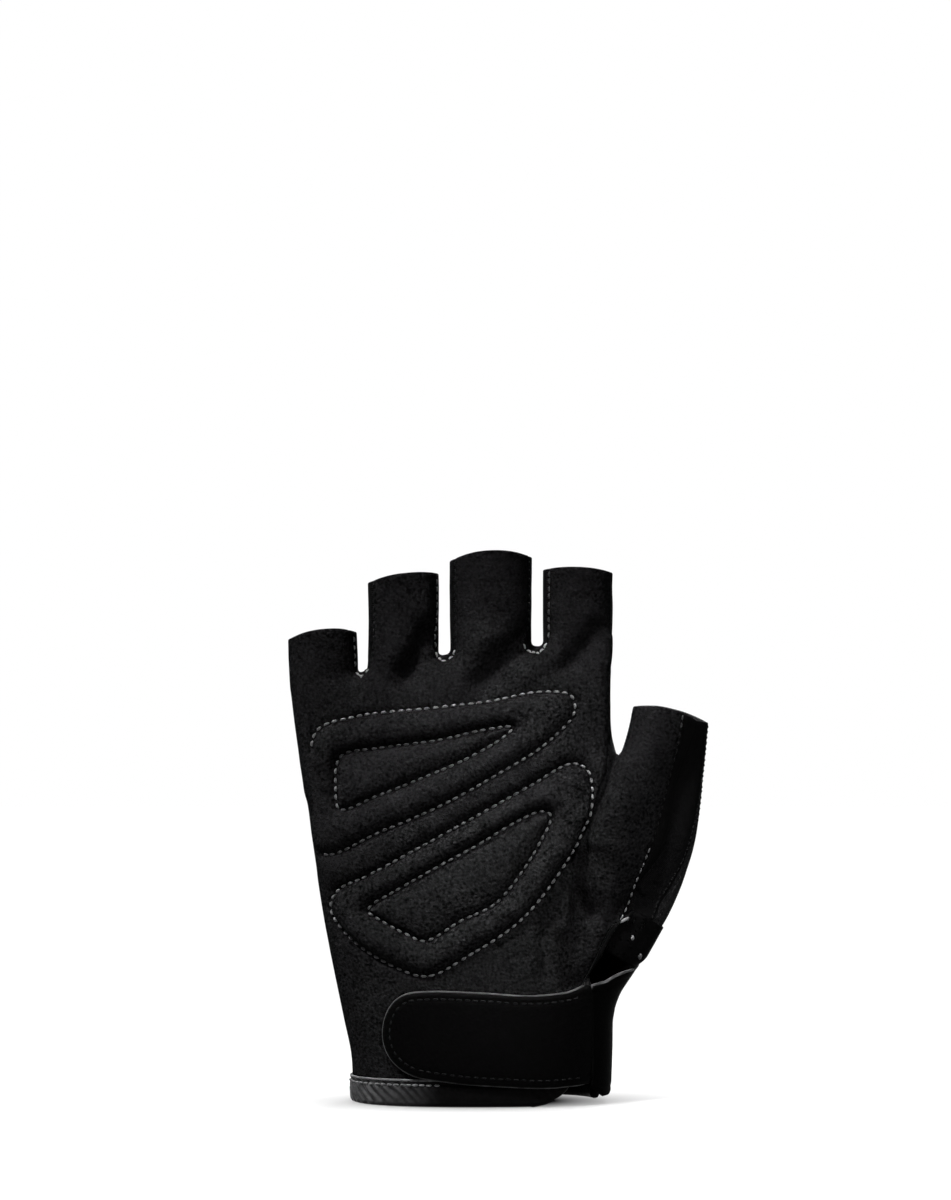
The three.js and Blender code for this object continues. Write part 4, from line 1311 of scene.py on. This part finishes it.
def panel(labels, finer=0):
    """One cloth piece: its points on the form, normals, triangles, and whether each lies on an open edge."""
    T = cloth_T[np.isin(region, labels)]
    used = np.unique(T)
    free = open_edge[used]
    V, T = compact(cloth_V, T)
    for _ in range(finer):
        pairs, _, _ = numbered(edges_of(T))
        free = np.concatenate([free, free[pairs[:, 0]] & free[pairs[:, 1]]])
        V, T = subdivide(V, T)
    V, N = settle(V, 1)
    return V, N, T, free


def cloth_piece(name, labels, skin, slot, proud=0.0, lower=None, finer=0, ruffle=None):
    V, N, T, free = panel(labels, finer)
    high = relief(V, N) + proud
    if ruffle:
        high = high + ruffle(V)
    if lower:
        high = lower(V, high)
    bulge = np.where(free, np.where(V[:, 2] < 2 * HEM_ROUND, HEM_ROUND - 0.1, RIM_BULGE), SEAM_BULGE)
    pull = np.where(free, 0, SEAM_PULL)
    low = np.minimum(-WALL - proud, high - THINNEST)
    points, faces = sheet(V, N, T, high, low, bulge, pull)
    return add_piece(name + "_cloth", points, faces, skin, slot, name)


UNDER_PAD, UNDER_PAD_MORE = 0.75, 0.15


def under_pads(V, high):
    """The palm runs on under the pads, lower than their backs."""
    d = np.minimum(past(upper_outer)(V), past(lower_outer)(V))
    covered = (d < 0.05) & (V[:, 1] < 0)
    return np.where(covered, -UNDER_PAD - UNDER_PAD_MORE * smoothstep(-d, 0, 1.5), high)


# The hem tape's gathers: pitch, slant and unevenness, weakest strength, what it gains, and where across
RUCHE_PITCH, RUCHE_SLANT, RUCHE_UNEVEN = 2.6, 0.9, 2.6
RUCHE_WEAK, RUCHE_GAIN, RUCHE_GAINS = 0.04, 0.3, (10, 22)
# Where the tape's crown and the groove under its top edge lie, and the groove's depth
TAPE_CROWN, TAPE_GROOVE, TAPE_GROOVE_DEPTH = (4.2, 3.4), (HEM_HEIGHT - 1.3, 0.6), 0.3
# The thumb hem's flare: how far, where it ends up, and where it grows across
FLARE, FLARE_ENDS, FLARE_GROWS = 1.7, (41, 51), (42, 47)
# The vent tape's two ridges: their places, width and height, and how far the tape lies under them
PIPES, PIPE_WIDTH, PIPE_HEIGHT, PIPE_BASE = (0.5, 2.5), 0.4, 0.3, 0.15


def ruched(V):
    """Slanting gathers of the hem tape, strongest on the little finger's side."""
    turn = np.arctan2(V[:, 1], V[:, 0] + 1.5) * 30
    phase = (turn + RUCHE_SLANT * V[:, 2]) / RUCHE_PITCH * 2 * math.pi
    wave = np.sin(phase + RUCHE_UNEVEN * fade_noise(V, 5.0, 5))
    strength = RUCHE_WEAK + RUCHE_GAIN * smoothstep(-V[:, 0], *RUCHE_GAINS)
    (crown, half), (groove, width) = TAPE_CROWN, TAPE_GROOVE
    height = strength * wave * bell(V[:, 2] - crown, half) + 0.1 * fade_noise(V, 2.2, 6)
    return height - TAPE_GROOVE_DEPTH * bell(V[:, 2] - groove, width)


def flared(V):
    """The thumb hem stands out where it ends at the side."""
    return FLARE * (1 - smoothstep(V[:, 2], *FLARE_ENDS)) * smoothstep(V[:, 0], *FLARE_GROWS)


def piped(V):
    """Two thin ridges along the vent tape."""
    d = -vent_side(V)
    ridges = [bell(d - place, PIPE_WIDTH) for place in PIPES]
    return PIPE_HEIGHT * sum(ridges) - PIPE_BASE


cloth_piece("palm_panel", (PALM, UPPER_PAD, LOWER_PAD), suede, "suede", lower=under_pads)
cloth_piece("back_panel", (BACK,), lit_back_stretch, "stretch")
cloth_piece("thumb_side_panel", (THUMB_SIDE,), stretch, "stretch")
for index, name in enumerate(("little_ring", "ring_middle", "middle_index")):
    cloth_piece("finger_strip_" + name, (STRIP + index,), stretch, "stretch")
cloth_piece("cuff_tape", (CUFF,), tape, "tape", proud=HEM_PROUD, finer=1, ruffle=ruched)
cloth_piece("vent_tape", (VENT,), vent_skin, "tape", proud=HEM_PROUD, finer=1, ruffle=piped)
cloth_piece("thumb_hem_tape", (THUMB_HEM,), plain_tape, "tape", proud=HEM_PROUD, finer=1, ruffle=flared)

for name, label in (("upper_palm_pad", UPPER_PAD), ("lower_palm_pad", LOWER_PAD)):
    V, N, T, _ = panel((label,), 1)
    high = np.maximum(relief(V, N), PAD_BACK + THINNEST_PAD)
    points, faces = sheet(V, N, T, high, PAD_BACK, 0.05, 0.02, arcs=2)
    piece = add_piece(name + "_quilt", points, faces, pad_suede, "suede", name)

# The strap, cut from a flat grid and laid over the form
FOLD = 0.333
LIFT = HEM_PROUD + 0.3
STRAP_STEP = 0.6
# The edges' rounding: width, depth on the strap and on its band, and how far each edge stands out
ROLL, STRAP_ROLL, BAND_ROLL = 0.7, 0.4, 0.3
STRAP_BULGE, BAND_BULGE = 0.4, 0.45
# The groove for a row of stitches: inset, width, depths, where it grows across, and its end before the fold
ROW_INSET, ROW_WIDTH, ROW_DEPTH, BAND_ROW_DEPTH = 2.0, 0.45, 0.22, 0.2
ROW_GROWS, ROW_END = (-24, -20), 3.5
# Unevenness of strap and band: height, size
STRAP_WAVE, BAND_WAVE = (0.08, 9.0), (0.1, 11.0)
# The edges carry a painted highlight, a lighter copy of the skin, up to this far before the fold on the
# strap, and over and beyond these on the band.
STRAP_HIGHLIGHT_END = 1.5
BAND_HIGHLIGHT_OVER, BAND_HIGHLIGHT_FROM = 34, 31.8
fold = FOLD * KNUCKLE_WIDTH
strap_outline = spline(
    [(fold - reach * STRAP_REACH, STRAP_HEIGHT + up * STRAP_WIDTH) for reach, up in STRAP_OUTLINE], 260, True,
)


def grid_triangles(shape):
    number = np.arange(shape[0] * shape[1]).reshape(shape)
    squares = number[:-1, :-1], number[1:, :-1], number[1:, 1:], number[:-1, 1:]
    a, b, c, d = [part.ravel() for part in squares]
    return np.concatenate([np.stack([a, b, c], 1), np.stack([a, c, d], 1)])


def flat_grid(line, step):
    low, high = line.min(0) - step, line.max(0) + step
    X, Z = np.meshgrid(*[np.arange(low[k], high[k] + step, step) for k in range(2)], indexing="ij")
    return np.stack([X.ravel(), np.zeros(X.size), Z.ravel()], 1), grid_triangles(X.shape)


def flat_cut(V, T, line):
    """Cuts a flat grid along a closed line, and keeps what lies inside."""
    s = signed_distance(V[:, 0], V[:, 2], line)
    nudges = ((NUDGE, 0), (0, NUDGE))
    g = np.stack([signed_distance(V[:, 0] + o, V[:, 2] + q, line) - s for o, q in nudges], 1) / NUDGE
    close = np.abs(s) < 0.25
    V = V.copy()
    V[close, 0] -= s[close] * g[close, 0]
    V[close, 2] -= s[close] * g[close, 1]
    s[close] = 0
    V, T = split(V, T, s)
    middle = V[T].mean(1)
    return compact(V, T[signed_distance(middle[:, 0], middle[:, 2], line) < 0])


def painted_highlight_faces(points, faces, T, where):
    """Which faces belong to the rounded edge of a sheet over T, in the stretch where the edge carries a
    painted highlight.
    """
    return (np.arange(len(faces)) >= 2 * len(T)) & where(points[faces].mean(1))


V, T = flat_cut(*flat_grid(strap_outline, STRAP_STEP), strap_outline)
within = -signed_distance(V[:, 0], V[:, 2], strap_outline)
P, N = front_point(V[:, [0, 2]])
roll = STRAP_ROLL * np.exp(-within / ROLL)
groove = ROW_DEPTH * bell(within - ROW_INSET, ROW_WIDTH) * smoothstep(V[:, 0], *ROW_GROWS)
high = LIFT + STRAP_THICKNESS - roll - groove + STRAP_WAVE[0] * fade_noise(P, STRAP_WAVE[1], 3)
points, faces = sheet(P, N, T, high, LIFT, STRAP_BULGE)
# Faces of the strap's edge that get the painted highlight
light = painted_highlight_faces(points, faces, T, lambda p: p[:, 0] < fold - STRAP_HIGHLIGHT_END)
add_piece(
    "wrist_strap_skin", points, faces, strap_skin, "strap", "wrist_strap",
    edge=strap_edge_highlight, edge_faces=light,
)

# The side band, a strip of the hand's section that flares with the thumb
BAND_START, BAND_END = fold + 0.3, 7.1
BAND_TOP = 42.5
BAND_COLUMNS, BAND_ROWS, BAND_LEVELS = 130, 60, 70
# The band's lower and upper edges on the palm's side and on the back: places across, and their heights
FRONT_LOW = ((31.4, 35.0), (5.9, 2.6))
BACK_LOW = ((7.1, 31.1, 36.8), (9.9, 5.6, 2.6))
FRONT_TOP = ((31.4, 34.5, 37.5, 39.5), (34.4, 35.5, 39.0, 41.3))
BACK_TOP = ((7.1, 34.0, 40.0), (32.2, 39.0, 42.0))


def band_section(height):
    """The band's seat at one height, from its front end round the thumb side to the back."""
    share = height / PALM_LENGTH
    centre, half, front, back = [float(v) for v in palm_section(share)]
    right = half + LIFT + float(np.interp(share, BAND_FLARE[:, 0], BAND_FLARE[:, 1])) * WRIST_WIDTH
    front, back = front + LIFT, back + LIFT
    angle = np.linspace(-math.pi / 2, math.pi / 2, 400)
    c, q = np.cos(angle), np.sin(angle)
    x = centre + right * np.abs(c) ** (2 / PALM_SQUARENESS)
    y = np.where(q < 0, front, back) * np.sign(q) * np.abs(q) ** (2 / PALM_SQUARENESS)
    keep = ((q < 0) & (x > BAND_START)) | ((q >= 0) & (x > BAND_END))
    line = np.stack([x[keep], y[keep]], 1)
    along = lengths(line)
    return at_lengths(line, along, np.linspace(0, along[-1], BAND_COLUMNS))


levels = np.linspace(0, BAND_TOP + 1, BAND_LEVELS)
sections = np.stack([band_section(level) for level in levels])
across, depth = band_section(20.0).T
low_edge = np.where(depth < 0, np.interp(across, *FRONT_LOW), np.interp(across, *BACK_LOW))
high_edge = np.where(depth < 0, np.interp(across, *FRONT_TOP), np.interp(across, *BACK_TOP))
rows = np.linspace(0, 1, BAND_ROWS)
points = []
for column in range(BAND_COLUMNS):
    z = low_edge[column] + (high_edge[column] - low_edge[column]) * rows
    x, y = [np.interp(z, levels, sections[:, column, k]) for k in range(2)]
    points.append(np.stack([x, y, z], 1))
band = np.array(points)
N = unit(np.cross(np.gradient(band, axis=0), np.gradient(band, axis=1))).reshape(-1, 3)
width = (high_edge - low_edge)[:, None]
within = np.minimum(rows * width, (1 - rows) * width)
high = BAND_THICKNESS - BAND_ROLL * np.exp(-within / ROLL)
high -= BAND_ROW_DEPTH * bell(within - ROW_INSET, ROW_WIDTH)
band = band.reshape(-1, 3)
high = high.ravel() + BAND_WAVE[0] * fade_noise(band, BAND_WAVE[1], 4)
T = grid_triangles(within.shape)
points, faces = sheet(band, N, T, high, 0.0, BAND_BULGE)
# Faces of the band's upper front edge that get the painted highlight
light = painted_highlight_faces(
    points, faces, T, lambda p: (p[:, 2] > BAND_HIGHLIGHT_OVER) & (p[:, 1] < 0) & (p[:, 0] > BAND_HIGHLIGHT_FROM),
)
add_piece(
    "strap_side_band_skin", points, faces, band_skin, "strap", "strap_side_band",
    edge=strap_edge_highlight, edge_faces=light,
)

# Stitches
# The kinds of row, in millimetres
FINGER_ROW = {"pitch": 2.3, "length": 1.5, "thread": 0.55}
THUMB_ROW = {"pitch": 2.4, "length": 1.4, "thread": 0.5}
THUMB_BACK_ROW = {"pitch": 1.6, "length": 1.0, "thread": 0.4, "lift": 0.1}
STRAP_ROW = {"pitch": 2.3, "length": 1.5, "thread": 0.5, "lift": 0.16, "sink": 0.3}
CUFF_ROW = {"pitch": 2.0, "length": 1.5, "thread": 0.7}
TACK = {"pitch": 1.4, "length": 1.2, "thread": 1.0}
# Distances of the two rows beside the seam between the thumb's side panel and the back
THUMB_BACK_SIDES = (0.5, -0.7)
# Radii of the light edges of the cuff and of the thumb's hem; the hem's is a painted highlight
CUFF_EDGE_RADIUS, HEM_EDGE_RADIUS = 0.34, 0.45
thread_groups = {}


def sew(group, path, extra=0.0, lowest=-9.0, **how):
    p, n = settle(path, 2)
    p = p + n * (np.maximum(relief(p, n), lowest) + extra)[:, None]
    thread_groups.setdefault(group, []).append(stitches(p, n, **how))


def stretches(path, values):
    """Cuts a path where a value that goes with its points changes."""
    breaks = np.flatnonzero(np.diff(values)) + 1
    edges = [0, *breaks.tolist(), len(path)]
    for a, b in zip(edges[:-1], edges[1:]):
        if b - a > 3:
            yield path[a:b], values[a]


for line, closed in PAD_LINES:
    path, _ = front_point(looped(line) if closed else line)
    sew("light_pads", resampled(path), lowest=PAD_BACK + THINNEST_PAD)
# The crotches' rows come to a point, this deep and this wide to each side.
CROTCH_POINT, CROTCH_SIDE = 3.0, 3.2
# Threads of each strip between fingers: beside the nearer finger, in the crotch, beside the farther one. They
# are painted shades of one thread: the crotch's is painted brighter against its shade, and rows in shadow are
# painted dim or dark.
STRIP_THREADS = (("light", "highlit", "dark"), ("light", "highlit", "dark"), ("dark", "highlit", "dim"))
for index, kinds in enumerate(STRIP_THREADS):
    for path in seam_paths((PALM,), (STRIP + index,)):
        path = beside(path, BESIDE_SEAM)
        place = np.where(path[:, 0] < crotches[index], 0, 2)
        place[path[:, 2] < crotch_height(crotches[index]) + 2] = 1
        aside = path[:, 0] - crotches[index]
        path[:, 2] -= CROTCH_POINT * np.clip(1 - np.abs(aside) / CROTCH_SIDE, 0, 1)
        path[:, 0] -= 0.3 * aside * (place == 1)
        for part, kind in stretches(path, place):
            sew(kinds[kind] + "_fingers", part, **FINGER_ROW)
# The thumb's thread is painted in shades by how the light falls: light low down, dark in the middle, and dim
# at the top.
THUMB_LIGHT_UNDER, THUMB_DIM_OVER = 74, 108
for path in seam_paths((PALM,), (THUMB_SIDE,)):
    path = beside(path, BESIDE_SEAM)
    kinds = (path[:, 2] > THUMB_DIM_OVER) + 2 * (path[:, 2] < THUMB_LIGHT_UNDER)
    for part, seen in stretches(path, kinds):
        sew(("dark_thumb", "dim_thumb", "light_thumb")[seen], part, **THUMB_ROW)
for path in seam_paths((THUMB_SIDE,), (BACK,)):
    for side in THUMB_BACK_SIDES:
        sew("dark_thumb", beside(path, side), **THUMB_BACK_ROW)


# The row inside the strap's edge
tangent = unit(np.roll(strap_outline, -1, axis=0) - np.roll(strap_outline, 1, axis=0))
aside = ROW_INSET * np.stack([-tangent[:, 1], tangent[:, 0]], 1)
moved = strap_outline + aside
if not inside(moved[:1, 0], moved[:1, 1], strap_outline)[0]:
    moved = strap_outline - aside
keep = signed_distance(moved[:, 0], moved[:, 1], strap_outline) < -ROW_INSET * 0.97
keep &= moved[:, 0] < fold - ROW_END
first = int(np.argmin(keep))
P, N = front_point(np.roll(moved, -first, axis=0)[np.roll(keep, -first)])
path = resampled(P + N * (LIFT + STRAP_THICKNESS - ROW_DEPTH), 0.6)
_, N = settle(path, 0)
thread_groups["dark_strap"] = [stitches(path, N, **STRAP_ROW)]


def cord_along(path, lift, radius):
    """A thin round edge that follows a path on the form and tapers at its ends."""
    p, n = settle(path, 1)
    p = p + n * (relief(p, n) + lift)[:, None]
    place = np.arange(len(p))
    taper = np.minimum(1, np.minimum(place, place[::-1]) / 4 + 0.3)
    return tube(smoothed(p, 2), radius * taper)


# The cuff's light edge and row end at the strap's tip. They are followed on the palm's side alone.
CUFF_EDGE_END, CUFF_EDGE_FRONT = -11, -1
CUFF_ROW_DROP = 1.5
edges = []
for path in seam_paths((CUFF,), (PALM, VENT)):
    part = path[(path[:, 0] < CUFF_EDGE_END) & (path[:, 1] < CUFF_EDGE_FRONT)]
    if len(part) > 8:
        edges.append(cord_along(part + np.array([0, 0, -0.1]), HEM_PROUD - 0.05, CUFF_EDGE_RADIUS))
        row = part - np.array([0, 0, CUFF_ROW_DROP])
        sew("light_cuff", row, HEM_PROUD - 0.2, **CUFF_ROW)
# The light edge of the thumb's hem, a light cord painted as the highlight along that edge: its two ends
# across, how far it lies under the hem's top, and its slope
HEM_LINE_FROM, HEM_LINE_TO = 41.3, 47.6
HEM_LINE_DROP, HEM_LINE_SLOPE = 0.2, 0.07
hem_line = [
    (x, hem_top - HEM_LINE_DROP - HEM_LINE_SLOPE * (x - HEM_LINE_FROM))
    for x in np.linspace(HEM_LINE_FROM, HEM_LINE_TO, 14)
]
P, _ = front_point(hem_line)
# The hem's painted highlight, as a light cord
edges.append(cord_along(P, HEM_PROUD + 0.4, HEM_EDGE_RADIUS))
# Two single stitches hold the vent: across, and up
VENT_TACKS = ((43.2, 48.6), (45.3, 42.9))
for x, z in VENT_TACKS:
    P, N = front_point([(x, z - 0.6), (x + 0.1, z), (x + 0.3, z + 0.7)])
    edges.append(stitches(P + N * (HEM_PROUD + 0.1), N, **TACK))
thread_groups["light_edges"] = edges
for group, parts in thread_groups.items():
    add_piece(group + "_stitches", *join(parts), THREADS[group.split("_")[0]], "suede")

# Floor
# It glows white, and its glow is dimmed in an ellipse round the glove, most under it: a painted contact
# shadow. Sizes here are in metres.
FLOOR_Z = -0.1 * MM
FLOOR_HALF, FLOOR_FRONT = 2.0, 0.26
FLOOR_SHADE = 0.05
CONTACT_SHADOW_SIZE = (0.077, 0.048)
GLOW, SHADOW_DROP = 0.985, 1.9
WHITE = (1, 1, 1, 1)
xs, ys = (-FLOOR_HALF, FLOOR_HALF), (-FLOOR_FRONT, FLOOR_HALF)
floor_mesh = bpy.data.meshes.new("floor")
floor_corners = [(xs[i], ys[j], FLOOR_Z) for i, j in ((0, 0), (1, 0), (1, 1), (0, 1))]
floor_mesh.from_pydata(floor_corners, [], [(0, 1, 2, 3)])
floor_paint = material("floor", (FLOOR_SHADE,) * 3, 1.0, specular=0.0)
tree = floor_paint.node_tree
place = new_node(tree, "TexCoord").outputs["Object"]
oval = new_node(tree, "Mapping", {"Scale": (*CONTACT_SHADOW_SIZE, 1)}, {"Vector": place}, vector_type="TEXTURE")
away = new_node(tree, "VectorMath", links={0: oval.outputs[0]}, operation="LENGTH").outputs["Value"]
near = new_node(tree, "Math", {1: 2}, {0: map_range(tree, away, 0, 1, 1, 0)}, operation="POWER").outputs[0]
shader = tree.nodes["Principled BSDF"]
shader.inputs["Emission Color"].default_value = WHITE
# The glow drops towards the glove: a painted contact shadow.
tree.links.new(map_range(tree, near, 0, 1, GLOW, GLOW - SHADOW_DROP), shader.inputs["Emission Strength"])
floor_mesh.materials.append(floor_paint)
floor = bpy.data.objects.new("floor", floor_mesh)
bpy.context.scene.collection.objects.link(floor)

# Light
# The sweep behind the glove is white, and the room in front of it is dimmer.
FRONT_FILL = 0.1
FILL_SPAN = (-0.2, 0.3)
world = bpy.data.worlds.new("world")
bpy.context.scene.world = world
world.use_nodes = True
tree = world.node_tree
background = tree.nodes["Background"]
background.inputs["Color"].default_value = WHITE
place = new_node(tree, "TexCoord").outputs["Generated"]
backward = new_node(tree, "SeparateXYZ", links={0: place}).outputs["Y"]
tree.links.new(map_range(tree, backward, *FILL_SPAN, FRONT_FILL, 1.0), background.inputs["Strength"])

LIGHT_DISTANCE = 1.0
KEY_SIDE = (-0.4, -0.42, 0.8)
# Spot lights: name, target, the side it comes from, radius, cone in degrees, power
LIGHTS = [
    ("fingers", (0.028, -0.005, 0.145), KEY_SIDE, 0.13, 5.8, 1080),
    ("palm", (-0.030, -0.01, 0.077), KEY_SIDE, 0.13, 6.6, 1300),
    ("heel", (0.016, -0.02, 0.083), (0.15, -0.75, 0.65), 0.05, 3.9, 560),
    ("hem", (0.045, -0.01, 0.047), KEY_SIDE, 0.05, 1.4, 1400),
    ("back", (0.0, 0.01, 0.09), (0.3, 0.7, 0.6), 0.2, 16, 500),
]
for name, target, side, radius, cone, power in LIGHTS:
    spot = bpy.data.lights.new(name, "SPOT")
    spot.spot_size = math.radians(cone)
    spot.spot_blend = 1.0
    spot.shadow_soft_size = radius
    spot.energy = power
    lamp = bpy.data.objects.new(name, spot)
    lamp.location = Vector(target) + Vector(side).normalized() * LIGHT_DISTANCE
    lamp.rotation_euler = (Vector(target) - lamp.location).to_track_quat("-Z", "Y").to_euler()
    bpy.context.scene.collection.objects.link(lamp)

# Camera
CAMERA_AT = (-1.3, -1413.0, 145.1)
PHOTO_HEIGHT = 348.0
SENSOR = 36.0
camera_data = bpy.data.cameras.new("camera")
camera_data.sensor_fit = "VERTICAL"
camera_data.sensor_height = SENSOR
camera_data.lens = SENSOR * -CAMERA_AT[1] / PHOTO_HEIGHT
camera = bpy.data.objects.new("camera", camera_data)
camera.location = Vector(CAMERA_AT) * MM
camera.rotation_euler = (math.pi / 2, 0, 0)
bpy.context.scene.collection.objects.link(camera)
bpy.context.scene.camera = camera
bpy.context.scene.view_settings.view_transform = "Standard"
